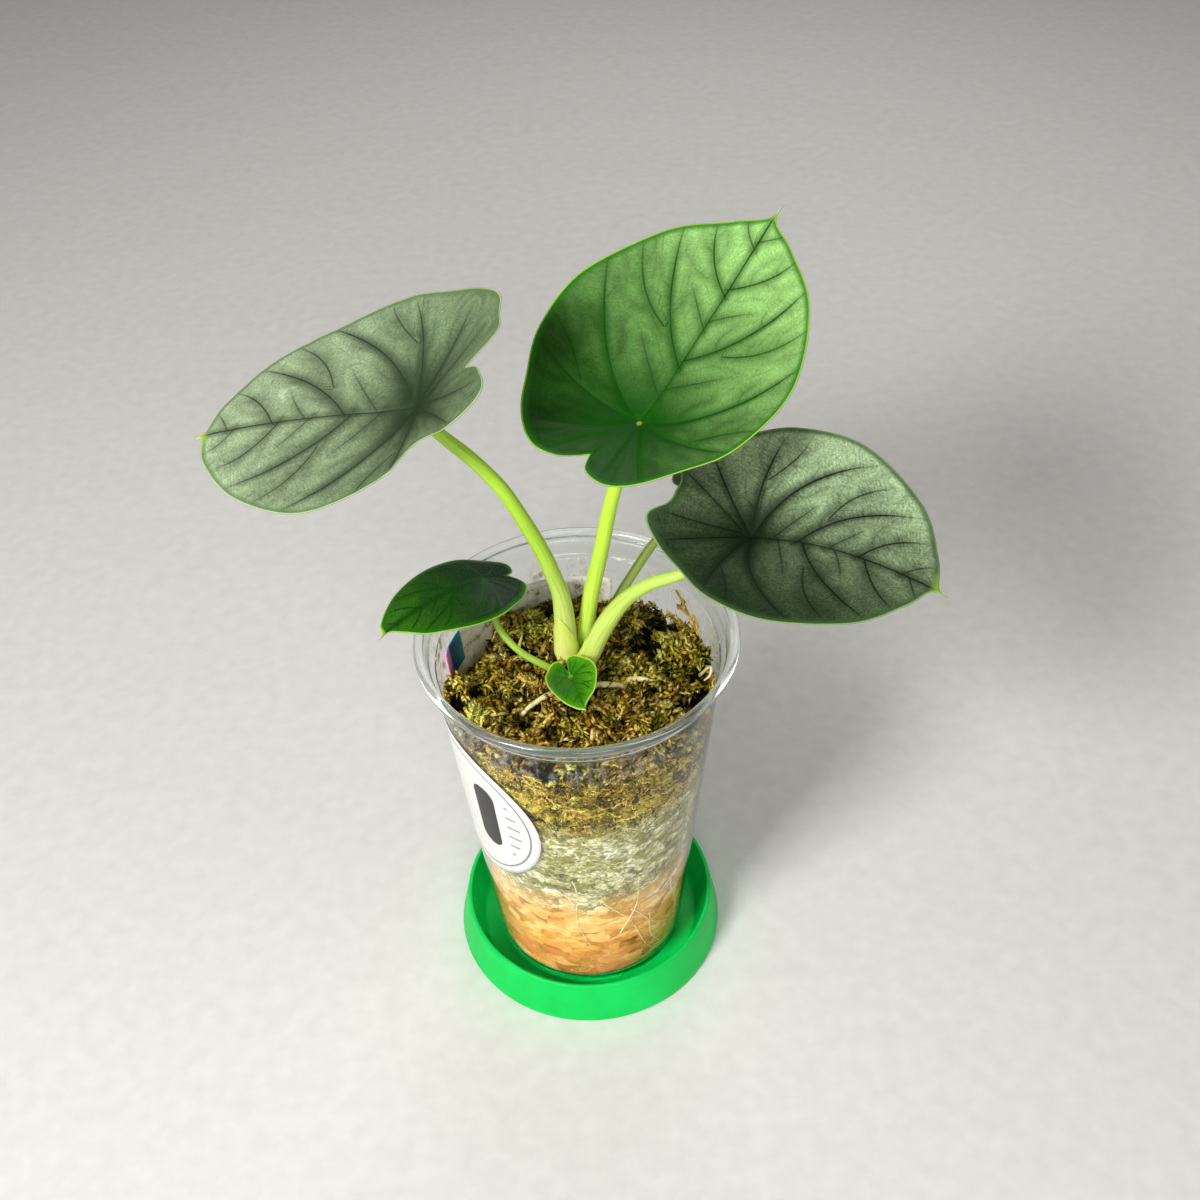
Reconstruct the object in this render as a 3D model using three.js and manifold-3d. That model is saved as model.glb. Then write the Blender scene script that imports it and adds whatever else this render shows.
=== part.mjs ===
// A young nadoon alocasia rooted in sphagnum moss, in a clear drinking-cup pot that stands on a green saucer.
// Millimetres, +Z up. The origin is the middle of the saucer's underside, and -Y is the front.
import * as THREE from "three";
import { mergeVertices } from "three/addons/utils/BufferGeometryUtils.js";
import Module from "manifold-3d";

const wasm = await Module();
wasm.setup();

// Driving dimensions
const TURN_SIDES = 40;
const GAP = 0.35;
const SLIVER = 0.05;
const SAUCER = { baseRadius: 46, rimRadius: 42.5, height: 16, floor: 2, floorRadius: 37.4, lip: 1 };
const CUP = { foot: 2.3, footRadius: 32.3, neck: 131, neckRadius: 43.9, bandRadius: 45.5, bandTop: 134.6 };
const WALL = 0.8;
const PUNT = 2.2;
const RIM = { radius: 49, roll: 1.5, top: 140 };
const LABEL = { heading: -153, height: 87, radius: 29.5, thickness: 0.4 };
const TAG = { from: 73, to: 169, low: 104.5, high: 123, thickness: 0.6 };
const MOSS = { level: 117, top: 132, sides: 36, rings: 9, tufts: 36, seed: 11 };
const GULLY = { heading: 152, depth: 11 };
const MOUND = { at: [-13, 20], height: 5 };
const CORM = { at: [0.4, 8.6, 104], radius: 10, squash: 0.8 };
const BLADE_THICKNESS = 0.8;
const MIDRIB = { depth: 1, halfWidth: 0.012 };
const VEIN = { depth: 0.9, halfWidth: 0.05 };

// Half the outline of a blade whose midrib is 1 long: tip, drip point, shoulder, widest part, lobe and notch
const HALF_OUTLINE = [
  [1, 0], [0.94, 0.02], [0.876, 0.155], [0.69, 0.366], [0.36, 0.516], [0.07, 0.505],
  [-0.135, 0.41], [-0.28, 0.315], [-0.37, 0.2], [-0.342, 0.07], [-0.28, 0],
];

// The veins of one half: each leaves the midrib or the hub, and bends forward to end short of the margin
const VEINS = [
  [[0, 0], [0.1, 0.32], [0.47, 0.49]],
  [[0.27, 0], [0.42, 0.22], [0.74, 0.31]],
  [[0.59, 0], [0.68, 0.16], [0.83, 0.2]],
  [[0, 0], [-0.05, 0.27], [0.03, 0.48]],
  [[0, 0], [-0.14, 0.12], [-0.27, 0.29]],
  [[0, 0], [-0.22, 0.09], [-0.36, 0.14]],
];

// The leaves. hub is where the stalk meets the blade; heading, rise and roll turn the blade about it; length is
// the midrib's. bowl shapes the blade: cone is the slope away from the hub, back adds to it towards the lobes,
// side and droop curve the halves and the tip, and lean makes one half stand higher than the other. left and
// right say how far each margin swells past the shared outline. Stalk points run from the moss to the hub.
const LEAVES = {
  left: {
    hub: [-41.4, 19.8, 208.7], heading: 167.5, rise: -15.3, roll: -13.8, length: 70.6, notch: 0.28,
    bowl: { cone: 0.16, back: 0.46, side: -0.19, droop: -0.13, lean: 0.01 },
    left: [1.03, 1, 0.73, 1.16], right: [1.01, 0.97, 1.14, 1.18], spokes: 24, rings: 8, color: 0x6f8673,
    stalk: [[-3.6, 9.8, 108.5], [-3.4, 9.6, 126.8], [-4, 9.5, 143.8], [-6.2, 9.9, 153.7], [-9.5, 10.8, 163.7],
      [-14.7, 12.2, 175.3], [-19.8, 13.6, 184.8], [-27.6, 15.8, 193.9], [-36.2, 18.2, 201.7]],
    radii: [4, 3.9, 3.4, 2.5, 2.3, 2.2, 2.1, 2, 1.9],
  },
  top: {
    hub: [20.7, 21.8, 198.3], heading: 42.8, rise: 24.2, roll: 0.4, length: 72.7, notch: 0.25,
    bowl: { cone: 0.19, back: 0.31, side: 0.1, droop: 0.04, lean: 0.19 },
    left: [0.98, 1.04, 1.02, 0.95], right: [0.97, 1, 0.93, 0.93], spokes: 24, rings: 8, color: 0x5cab4a,
    stalk: [[2.4, 13.8, 108.5], [2.7, 12.8, 124], [4.5, 13.3, 139.7], [8.1, 15, 156.2], [13.2, 17.8, 179.5]],
    radii: [2.6, 2.6, 2.5, 2.3, 2.1, 2],
  },
  right: {
    hub: [51, -0.3, 172.9], heading: -36.2, rise: 14.5, roll: 17.8, length: 56.2, notch: 0.34,
    bowl: { cone: 0.27, back: 0.61, side: -0.12, droop: -0.5, lean: -0.03 },
    left: [1.04, 1.15, 1.12, 1], right: [0.99, 1.03, 1, 1.03], spokes: 24, rings: 8, color: 0x4a6150,
    stalk: [[1.8, 4.6, 108.5], [2.2, 4.6, 121], [4.4, 4.6, 126.8], [8.6, 4.4, 137.3], [14.8, 3.8, 147.7],
      [22.2, 2.8, 154.5], [31.4, 1.2, 159.2], [42, 0.2, 165.6]],
    radii: [3.2, 3.2, 3.1, 2.9, 2.3, 1.9, 1.6, 1.6, 1.6],
  },
  back: {
    hub: [43.8, 36, 159], heading: 35, rise: -15, roll: 0, length: 32, notch: 0.28,
    bowl: { cone: 0.05, back: 0.3, side: 0.05, droop: -0.2, lean: 0 },
    left: [1, 1, 1, 1], right: [1, 1, 1, 1], spokes: 18, rings: 7, color: 0x3f5a43,
    stalk: [[7.2, 14, 108.5], [7.6, 15.5, 121], [12.4, 19.9, 131.9], [19.1, 24.6, 141], [25.6, 29.2, 148.1],
      [34, 33, 154]],
    radii: [1.6, 1.6, 1.5, 1.5, 1.4, 1.3],
  },
  small: {
    hub: [-27.7, 18, 146.5], heading: 206.2, rise: 13.2, roll: 6.3, length: 33.4, notch: 0.26,
    bowl: { cone: -0.12, back: 0.04, side: -0.13, droop: -0.33, lean: -0.02 },
    left: [0.94, 0.97, 1.01, 0.96], right: [1.04, 0.99, 1.04, 0.99], spokes: 18, rings: 7, color: 0x2f5a2a,
    stalk: [[-6.5, 4.5, 108.5], [-7, 3.8, 119], [-9.4, 3.5, 121.5], [-16.3, 5.5, 125.3], [-21.3, 9, 128.7],
      [-24.9, 13, 133.6]],
    radii: [1.2, 1.2, 1.1, 1.1, 1.1, 1],
  },
  tiny: {
    hub: [-2.5, -6.6, 126.5], heading: -76.2, rise: 14.3, roll: 9.8, length: 14.8, notch: 0.04,
    bowl: { cone: 0.23, back: 0.39, side: 0.28, droop: -0.5, lean: 0.03 },
    left: [0.9, 1.01, 1.03, 1.02], right: [1, 0.99, 1.02, 1], spokes: 14, rings: 5, color: 0x3f9a2c,
    stalk: [[-1.2, 0.2, 108.5], [-1.6, -1.6, 119.5], [-2.1, -4, 123.6]],
    radii: [0.8, 0.8, 0.8],
  },
};

// Roots leave the corm, run a little way over the moss and dive back into it
const ROOTS = [
  { points: [[-2, 4, 107], [-4.5, -1, 115.5], [-7.3, -6.3, 118.4], [-12, -9.5, 118.8], [-16.7, -12.1, 117.2],
    [-20, -14, 114]], radius: 0.8 },
  { points: [[2, 1.5, 107], [3.2, -2, 115], [4.4, -3.9, 118], [8.5, -4.8, 118.8], [12.7, -4.5, 118],
    [16, -3.8, 115]], radius: 1.1 },
  { points: [[6, 5, 107], [9.5, 1.5, 114], [14.6, -2.5, 118.2], [18, -3, 118.9], [21.7, -3, 118],
    [25, -2.5, 115]], radius: 1 },
];

// Dried strands that lean on the wall at the right, and one that curls by the rim
const LEANING_STRANDS = [
  { points: [[38, 9, 114], [37, 15, 120.5], [34.2, 21, 125.5], [31.2, 25.6, 130]], radius: 0.7 },
  { points: [[35, 17, 114], [33.6, 19.4, 120], [31.8, 20.6, 124]], radius: 0.6 },
  { points: [[35.5, -3, 113], [38.2, -1.6, 120.5], [39.8, 1.2, 122.6], [39.6, 4.4, 120], [38, 6.5, 114]], radius: 0.6 },
];

// Geometry helpers
const TAU = 2 * Math.PI;
const radians = THREE.MathUtils.degToRad;
const smooth = THREE.MathUtils.smoothstep;
const vector = (point) => new THREE.Vector3(...point);
const circle = (radius, count) =>
  Array.from({ length: count }, (_, i) => [
    radius * Math.cos((TAU * i) / count), radius * Math.sin((TAU * i) / count),
  ]);

function seededRandom(seed) {
  let state = seed;
  return () => {
    state = (state * 1664525 + 1013904223) % 4294967296;
    return state / 4294967296;
  };
}

// Merges shared corners, drops slivers with no area at the poles, and turns the faces outward
function closed(geometry) {
  const bare = geometry.clone();
  bare.deleteAttribute("normal");
  bare.deleteAttribute("uv");
  const merged = mergeVertices(bare);
  const index = merged.index.array;
  const corner = [0, 1, 2].map(() => new THREE.Vector3());
  const kept = [];
  let volume = 0;
  for (let i = 0; i < index.length; i += 3) {
    const [a, b, c] = [index[i], index[i + 1], index[i + 2]];
    if (a === b || b === c || c === a) continue;
    kept.push(a, b, c);
    [a, b, c].forEach((vertex, k) => corner[k].fromBufferAttribute(merged.attributes.position, vertex));
    volume += corner[0].dot(corner[1].clone().cross(corner[2]));
  }
  if (volume < 0) kept.reverse();
  merged.setIndex(kept);
  return merged;
}

function solid(geometry) {
  const body = closed(geometry);
  const vertProperties = new Float32Array(body.attributes.position.array);
  return new wasm.Manifold(new wasm.Mesh({ numProp: 3, vertProperties, triVerts: new Uint32Array(body.index.array) }));
}

// The largest piece of a cut solid, as a geometry, without the slivers that cutting leaves
function largestPiece(cut) {
  const pieces = cut.simplify(SLIVER).decompose().sort((a, b) => b.volume() - a.volume());
  const mesh = pieces[0].getMesh();
  const geometry = new THREE.BufferGeometry();
  geometry.setAttribute("position", new THREE.BufferAttribute(mesh.vertProperties, 3));
  geometry.setIndex(new THREE.BufferAttribute(mesh.triVerts, 1));
  return geometry;
}

// A body of revolution about Z from [radius, height] points
function turned(profile) {
  const points = profile.map(([radius, height]) => new THREE.Vector2(radius, height));
  return new THREE.LatheGeometry(points, TURN_SIDES).rotateX(Math.PI / 2);
}

// A round tube along a curve, with its radius following a list from end to end
function tube(points, radii, sides, steps) {
  const path = new THREE.CatmullRomCurve3(points.map(vector));
  const seedRadius = 0.05;
  const section = new THREE.Shape().absarc(0, 0, seedRadius, 0, TAU);
  const settings = { extrudePath: path, steps, curveSegments: sides / 2, bevelEnabled: false };
  const geometry = new THREE.ExtrudeGeometry(section, settings);
  const centres = path.getSpacedPoints(steps);
  const corners = geometry.attributes.position;
  for (let i = 0; i < corners.count; i += 1) {
    const corner = new THREE.Vector3().fromBufferAttribute(corners, i);
    const gaps = centres.map((centre) => centre.distanceTo(corner));
    const step = gaps.indexOf(Math.min(...gaps));
    const place = (step / steps) * (radii.length - 1);
    const low = Math.min(Math.floor(place), radii.length - 2);
    const radius = THREE.MathUtils.lerp(radii[low], radii[low + 1], place - low);
    corner.sub(centres[step]).multiplyScalar(radius / seedRadius).add(centres[step]);
    corners.setXYZ(i, ...corner);
  }
  return geometry;
}

// A thin closed sheet: rings about a middle point, out to an outline, split alike on both faces. point(x, y) is
// the middle surface, and over and under are how far the two faces lie from it.
function sheet(outline, rings, point, over, under) {
  const step = 1e-3;
  const count = outline.length;
  const corners = [];
  const spot = (x, y, side) => {
    const slopeX = point(x + step, y).sub(point(x - step, y));
    const slopeY = point(x, y + step).sub(point(x, y - step));
    const normal = slopeX.cross(slopeY).normalize();
    corners.push(...point(x, y).addScaledVector(normal, side > 0 ? over(x, y) : -under(x, y)));
  };
  for (const side of [1, -1]) {
    spot(0, 0, side);
    for (let ring = 1; ring <= rings; ring += 1) {
      outline.forEach(([x, y]) => spot((x * ring) / rings, (y * ring) / rings, side));
    }
  }
  const faceSize = 1 + rings * count;
  const at = (face, ring, spoke) => face * faceSize + 1 + (ring - 1) * count + (spoke % count);
  const triangles = [];
  for (let spoke = 0; spoke < count; spoke += 1) {
    for (const face of [0, 1]) {
      const add = (a, b, c) => (face ? triangles.push(a, c, b) : triangles.push(a, b, c));
      add(face * faceSize, at(face, 1, spoke), at(face, 1, spoke + 1));
      for (let ring = 1; ring < rings; ring += 1) {
        add(at(face, ring, spoke), at(face, ring + 1, spoke), at(face, ring + 1, spoke + 1));
        add(at(face, ring, spoke), at(face, ring + 1, spoke + 1), at(face, ring, spoke + 1));
      }
    }
    triangles.push(at(0, rings, spoke), at(1, rings, spoke), at(1, rings, spoke + 1));
    triangles.push(at(0, rings, spoke), at(1, rings, spoke + 1), at(0, rings, spoke + 1));
  }
  const geometry = new THREE.BufferGeometry();
  geometry.setAttribute("position", new THREE.Float32BufferAttribute(corners, 3));
  geometry.setIndex(triangles);
  return geometry;
}

const plant = new THREE.Group();

function add(name, geometry, color, roughness, extras = {}) {
  const material = new THREE.MeshStandardMaterial({ color, roughness, metalness: 0, ...extras });
  const mesh = new THREE.Mesh(closed(geometry), material);
  mesh.name = name;
  plant.add(mesh);
}

// Saucer: a dish whose wall leans in towards a thin lip
add("saucer", turned([
  [0, 0], [SAUCER.baseRadius - 0.6, 0], [SAUCER.baseRadius, 0.7],
  [SAUCER.rimRadius, SAUCER.height - 0.4], [SAUCER.rimRadius - 0.3, SAUCER.height],
  [SAUCER.rimRadius - SAUCER.lip, SAUCER.height - 0.2], [SAUCER.floorRadius + 0.6, SAUCER.floor + 0.8],
  [SAUCER.floorRadius, SAUCER.floor], [0, SAUCER.floor],
]), 0x0fd356, 0.45);

// Cup: punted foot, tapering wall, stepped shoulder band and rolled rim
const taper = (CUP.neckRadius - CUP.footRadius) / (CUP.neck - CUP.foot);
const cupRadius = (height) => CUP.footRadius + taper * (height - CUP.foot);
const insideRadius = (height) => cupRadius(height) - WALL;
const floorHeight = CUP.foot + PUNT + WALL;
const rollCentre = [RIM.radius - RIM.roll, RIM.top - RIM.roll];
const roll = [180, 120, 75, 30, -15, -60, -110].map((angle) => [
  rollCentre[0] + RIM.roll * Math.cos(radians(angle)), rollCentre[1] + RIM.roll * Math.sin(radians(angle)),
]);
add("cup", turned([
  [0, floorHeight], [insideRadius(floorHeight), floorHeight], [insideRadius(CUP.neck), CUP.neck],
  [CUP.bandRadius - 1.1, CUP.neck + 0.8], [CUP.bandRadius - 0.8, CUP.bandTop - 0.3],
  [CUP.bandRadius - 0.4, CUP.bandTop + 0.3],
  ...roll,
  [CUP.bandRadius + 0.4, CUP.bandTop + 0.6], [CUP.bandRadius, CUP.bandTop],
  [CUP.bandRadius - 0.2, CUP.neck + 0.5], [CUP.neckRadius, CUP.neck - 0.3],
  [cupRadius(CUP.foot + 1), CUP.foot + 1], [CUP.footRadius - 0.9, CUP.foot],
  [CUP.footRadius - 2.6, CUP.foot], [CUP.footRadius - 3.8, CUP.foot + PUNT], [0, CUP.foot + PUNT],
]), 0xe8eeea, 0.15, { transparent: true, opacity: 0.35 });

// Label: a round paper patch on the outside of the wall
const labelPoint = (across, up) => {
  const height = LABEL.height + up;
  const radius = cupRadius(height) + GAP + LABEL.thickness / 2;
  const angle = radians(LABEL.heading) + across / cupRadius(LABEL.height);
  return new THREE.Vector3(radius * Math.cos(angle), radius * Math.sin(angle), height);
};
const halfLabel = () => LABEL.thickness / 2;
add("label", sheet(circle(LABEL.radius, 28), 4, labelPoint, halfLabel, halfLabel), 0xf2f2ee, 0.5);

// Plant tag: a flat strip sprung against the inside of the wall. clearance thickens it on every side.
function tagStrip(clearance) {
  const outer = insideRadius(TAG.low) - GAP - 0.3 + clearance;
  const inner = outer - TAG.thickness - 2 * clearance;
  const extra = clearance / outer;
  const [start, end] = [radians(TAG.from) - extra, radians(TAG.to) + extra];
  const section = new THREE.Shape().absarc(0, 0, outer, start, end, false).absarc(0, 0, inner, end, start, true);
  const depth = TAG.high - TAG.low + 2 * clearance;
  const geometry = new THREE.ExtrudeGeometry(section, { depth, steps: 1, curveSegments: 8, bevelEnabled: false });
  const corners = geometry.attributes.position;
  for (let i = 0; i < corners.count; i += 1) {
    const stretch = 1 + (taper * corners.getZ(i)) / outer;
    corners.setXYZ(i, corners.getX(i) * stretch, corners.getY(i) * stretch, corners.getZ(i) + TAG.low - clearance);
  }
  return geometry;
}
add("plant_tag", tagStrip(0), 0xf4f2ea, 0.4);

// Blades: the outline swells by its own factors, and the surface is a shallow funnel with sunken veins
function bladeOutline(leaf) {
  const half = (swell) => {
    const factors = [1, ...swell, 1];
    const points = HALF_OUTLINE.map(([x, y], i) => {
      const place = (i / (HALF_OUTLINE.length - 1)) * (factors.length - 1);
      const low = Math.min(Math.floor(place), factors.length - 2);
      const factor = THREE.MathUtils.lerp(factors[low], factors[low + 1], place - low);
      return new THREE.Vector2(x * factor, y * factor);
    });
    points[points.length - 1].set(-leaf.notch, 0);
    return new THREE.SplineCurve(points).getPoints(leaf.spokes);
  };
  const left = half(leaf.left).map(({ x, y }) => [x, y]);
  const right = half(leaf.right).map(({ x, y }) => [x, -y]);
  return [...left, ...right.reverse().slice(1, -1)];
}

const veinCurves = VEINS.map((points) => {
  const [start, bend, end] = points.map(([x, y]) => new THREE.Vector2(x, y));
  return new THREE.QuadraticBezierCurve(start, bend, end).getPoints(12);
});

function veinDistance(x, y) {
  const place = new THREE.Vector2(x, Math.abs(y));
  const gaps = veinCurves.flat().map((point) => point.distanceTo(place));
  return Math.min(...gaps, x > 0 ? Math.abs(y) : Infinity);
}

function bladeSurface(leaf) {
  const [heading, rise, rollAngle] = [leaf.heading, leaf.rise, leaf.roll].map(radians);
  const along = new THREE.Vector3(Math.cos(heading), Math.sin(heading), 0).multiplyScalar(Math.cos(rise));
  along.z = Math.sin(rise);
  const level = new THREE.Vector3(-Math.sin(heading), Math.cos(heading), 0);
  const lifted = along.clone().cross(level);
  const across = level.multiplyScalar(Math.cos(rollAngle)).addScaledVector(lifted, Math.sin(rollAngle));
  const up = along.clone().cross(across);
  const { cone, back, side, droop, lean } = leaf.bowl;
  return (x, y) => {
    const reach = Math.hypot(x, y);
    const backness = reach > 0 ? ((1 - x / reach) / 2) ** 1.5 : 0;
    const bowl = (cone + back * backness) * reach + side * y * y + lean * y * Math.abs(y);
    const arch = x > 0 ? droop * x * x : 0;
    const valley = (VEIN.depth / 70) * Math.exp(-((veinDistance(x, y) / VEIN.halfWidth) ** 2)) * smooth(reach, 0, 0.2);
    return vector(leaf.hub)
      .addScaledVector(along, leaf.length * x)
      .addScaledVector(across, leaf.length * y)
      .addScaledVector(up, leaf.length * (bowl + arch - valley));
  };
}

function blade(leaf, clearance = 0) {
  const half = BLADE_THICKNESS / 2 + clearance;
  const depth = (MIDRIB.depth * leaf.length) / 70;
  const rib = (x, y) => (x > 0 ? depth * (1 - x) * Math.exp(-((y / MIDRIB.halfWidth) ** 2)) * smooth(x, 0, 0.1) : 0);
  return sheet(bladeOutline(leaf), leaf.rings, bladeSurface(leaf), () => half, (x, y) => half + rib(x, y));
}

// clearance thickens a stalk and lengthens its foot
function stalkTube(leaf, clearance) {
  const [[x, y, z], ...rest] = leaf.stalk;
  const radii = leaf.radii.map((radius) => radius + clearance);
  return solid(tube([[x, y, z - clearance], ...rest, leaf.hub], radii, 10, 12));
}

// Crown: the corm in the moss, with the roots that grow from it. clearance thickens all of it.
function crownSolid(clearance) {
  const ball = new THREE.SphereGeometry(CORM.radius + clearance, 14, 9);
  ball.scale(1, 1, CORM.squash).translate(...CORM.at);
  let body = solid(ball);
  ROOTS.forEach(({ points, radius }) => {
    const radii = [radius, radius, radius * 0.8, radius * 0.5].map((value) => value + clearance);
    body = body.add(solid(tube(points, radii, 6, 10)));
  });
  return body;
}
const stalks = Object.values(LEAVES);
let crown = crownSolid(0);
stalks.forEach((leaf) => {
  crown = crown.subtract(stalkTube(leaf, GAP));
});
add("crown", largestPiece(crown), 0xd9cf9c, 0.7);

// Moss: a packed plug with a lumpy top and curled tufts grown into it, open where stalks, roots and tag stand
function mossHeight(x, y) {
  const radius = Math.hypot(x, y);
  const turn = Math.abs(THREE.MathUtils.radToDeg(Math.atan2(y, x)) - GULLY.heading);
  const gully = GULLY.depth * smooth(radius, 27, 36) * (1 - smooth(turn, 12, 26));
  const mound = MOUND.height * Math.exp(-((x - MOUND.at[0]) ** 2 + (y - MOUND.at[1]) ** 2) / 130);
  const lumps = 1.2 * Math.sin(0.33 * x + 1.1) * Math.cos(0.29 * y - 0.4) + 0.8 * Math.sin(0.61 * x - 0.47 * y);
  return MOSS.level + mound + lumps + 1.5 * smooth(x, 5, 40) - gully;
}

const plugCircle = circle(CUP.neckRadius, MOSS.sides);
const mossFloor = floorHeight + GAP;
const plug = sheet(plugCircle, MOSS.rings, (x, y) => new THREE.Vector3(x, y, 0), mossHeight, () => -mossFloor);
const insideOfCup = turned([
  [0, mossFloor], [insideRadius(mossFloor) - GAP, mossFloor], [insideRadius(MOSS.top) - GAP, MOSS.top],
  [0, MOSS.top],
]);

const random = seededRandom(MOSS.seed);
const spread = (size) => (random() - 0.5) * 2 * size;
const tufts = Array.from({ length: MOSS.tufts }, () => {
  const angle = random() * TAU;
  const radius = 40 * Math.sqrt(random());
  const [x, y] = [radius * Math.cos(angle), radius * Math.sin(angle)];
  const foot = mossHeight(x, y);
  const lean = [spread(4), spread(4)];
  const points = [
    [x, y, foot - 3], [x + lean[0] * 0.3, y + lean[1] * 0.3, foot + 1.2],
    [x + lean[0], y + lean[1], foot + 1.8 + 2.5 * random()],
    [x + lean[0] * 2 + spread(2), y + lean[1] * 2 + spread(2), foot + 0.5 + 2 * random()],
  ];
  return { points, radii: [1.5, 1.3, 1, 0.4] };
});
const leaning = LEANING_STRANDS.map(({ points, radius }) => ({ points, radii: [radius, radius, radius * 0.6] }));

let moss = solid(plug);
[...tufts, ...leaning].forEach(({ points, radii }) => {
  moss = moss.add(solid(tube(points, radii, 4, 3)));
});
moss = moss.intersect(solid(insideOfCup)).subtract(crownSolid(GAP)).subtract(solid(tagStrip(GAP)));
stalks.forEach((leaf) => {
  moss = moss.subtract(stalkTube(leaf, GAP));
});
add("moss", largestPiece(moss), 0x8a7a2e, 0.95);

// Leaves: each stalk stands on the crown and ends under its blade
Object.entries(LEAVES).forEach(([name, leaf]) => {
  const stalk = stalkTube(leaf, 0).subtract(solid(blade(leaf, GAP)));
  add(`stalk_${name}`, largestPiece(stalk), 0xb4d860, 0.45);
  add(`blade_${name}`, blade(leaf), leaf.color, 0.5);
});

export default plant;
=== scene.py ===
import math
import random

import bmesh
import bpy
import numpy as np
from mathutils import Matrix, Vector, noise


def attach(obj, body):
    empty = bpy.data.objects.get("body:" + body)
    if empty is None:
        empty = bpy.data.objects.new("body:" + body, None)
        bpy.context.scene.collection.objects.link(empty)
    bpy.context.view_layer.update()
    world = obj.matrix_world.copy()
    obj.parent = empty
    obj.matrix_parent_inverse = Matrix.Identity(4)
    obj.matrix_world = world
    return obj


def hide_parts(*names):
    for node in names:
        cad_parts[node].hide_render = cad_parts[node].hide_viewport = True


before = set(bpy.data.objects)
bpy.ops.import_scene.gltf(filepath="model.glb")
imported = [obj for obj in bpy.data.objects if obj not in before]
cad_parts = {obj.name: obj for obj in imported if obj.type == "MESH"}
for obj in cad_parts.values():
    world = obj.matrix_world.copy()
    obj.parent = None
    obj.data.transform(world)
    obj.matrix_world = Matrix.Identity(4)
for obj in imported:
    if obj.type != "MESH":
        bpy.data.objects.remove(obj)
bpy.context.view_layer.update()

# Table and studio: pale card under four lamps. The key lamp is at the front left, as in the photograph, with a
# fill in front and weak ones at the right and behind. The camera looks down on the plant from the front.
MM = 0.001


def linear(hex_colour):
    """An sRGB hex colour as the linear RGBA that shaders take."""
    parts = [int(hex_colour[i:i + 2], 16) / 255 for i in (1, 3, 5)]
    return [c / 12.92 if c <= 0.04045 else ((c + 0.055) / 1.055) ** 2.4 for c in parts] + [1]


def set_socket(material, socket, value):
    """Gives a socket a value or a hex colour, or links it to another socket or a node's first output."""
    if isinstance(value, bpy.types.Node):
        value = value.outputs[0]
    if isinstance(value, bpy.types.NodeSocket):
        material.node_tree.links.new(value, socket)
    else:
        socket.default_value = linear(value) if isinstance(value, str) else value


def add_node(material, kind, inputs=(), stops=(), **settings):
    """Adds a node. inputs go to its sockets by order or by name, and stops are a ramp's colours."""
    made = material.node_tree.nodes.new("ShaderNode" + kind)
    for name, value in settings.items():
        setattr(made, name, value)
    for place, value in inputs.items() if isinstance(inputs, dict) else enumerate(inputs):
        set_socket(material, made.inputs[place], value)
    if stops:
        ramp = made.color_ramp.elements
        while len(ramp) < len(stops):
            ramp.new(0.5)
        for element, (position, colour) in zip(ramp, stops):
            element.position = position
            element.color = linear(colour)
    return made


def feed(material, **sockets):
    """Sets or links the sockets of a material's shader."""
    shader = material.node_tree.nodes["Principled BSDF"]
    for place, value in sockets.items():
        set_socket(material, shader.inputs[place.replace("_", " ")], value)


def new_material(name, **sockets):
    """A material with one shader, its plain values set on the shader's own sockets."""
    material = bpy.data.materials.new(name)
    material.use_nodes = True
    feed(material, **sockets)
    return material


card = new_material("pale_card", Roughness=0.9)
card_grain = add_node(card, "TexNoise", {"Scale": 900.0, "Detail": 2.0})
feed(card, Base_Color=add_node(card, "ValToRGB", [card_grain], [(0.3, "#e6e4df"), (0.7, "#edebe6")]))
bpy.ops.mesh.primitive_plane_add(size=6, location=(0, 0, -0.2 * MM))
floor = bpy.context.object
floor.name = "table_card"
floor.data.materials.append(card)

sky = bpy.data.worlds.new("studio")
sky.use_nodes = True
sky_light = sky.node_tree.nodes["Background"].inputs
sky_light["Color"].default_value = linear("#e9e8e4")
sky_light["Strength"].default_value = 0.16
bpy.context.scene.world = sky
bpy.context.scene.view_settings.view_transform = "Standard"

LAMP_TARGET = Vector((0, 0, 0.13))
for lamp_name, place, size, watts in (
    ("key_lamp", (-0.55, -0.58, 0.8), 0.3, 10.0),
    ("fill_lamp", (0.1, -0.9, 0.6), 0.4, 3.0),
    ("side_lamp", (0.9, -0.3, 0.5), 0.5, 0.8),
    ("back_lamp", (0.15, 0.75, 0.7), 0.4, 1.5),
):
    lamp_data = bpy.data.lights.new(lamp_name, "AREA")
    lamp_data.size = size
    lamp_data.energy = watts
    lamp = bpy.data.objects.new(lamp_name, lamp_data)
    lamp.location = place
    lamp.rotation_euler = (LAMP_TARGET - Vector(place)).to_track_quat("-Z", "Y").to_euler()
    bpy.context.scene.collection.objects.link(lamp)

# The camera was solved from the photograph, by the ellipses of the cup and the saucer
CAMERA_PLACE = (0, -0.31930, 0.44456)
CAMERA_RIGHT, CAMERA_UP, CAMERA_BACK = (
    (0.99860, -0.04625, -0.02557), (0.05010, 0.67445, 0.73662), (-0.01682, -0.73687, 0.67582))
camera_data = bpy.data.cameras.new("camera")
camera_data.sensor_width = 36.0
camera_data.lens = 44.29
camera_data.clip_start = 0.01
camera = bpy.data.objects.new("camera", camera_data)
camera_turn = Matrix((CAMERA_RIGHT, CAMERA_UP, CAMERA_BACK)).transposed().to_4x4()
camera.matrix_world = Matrix.Translation(CAMERA_PLACE) @ camera_turn
bpy.context.scene.collection.objects.link(camera)
bpy.context.scene.camera = camera

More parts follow.
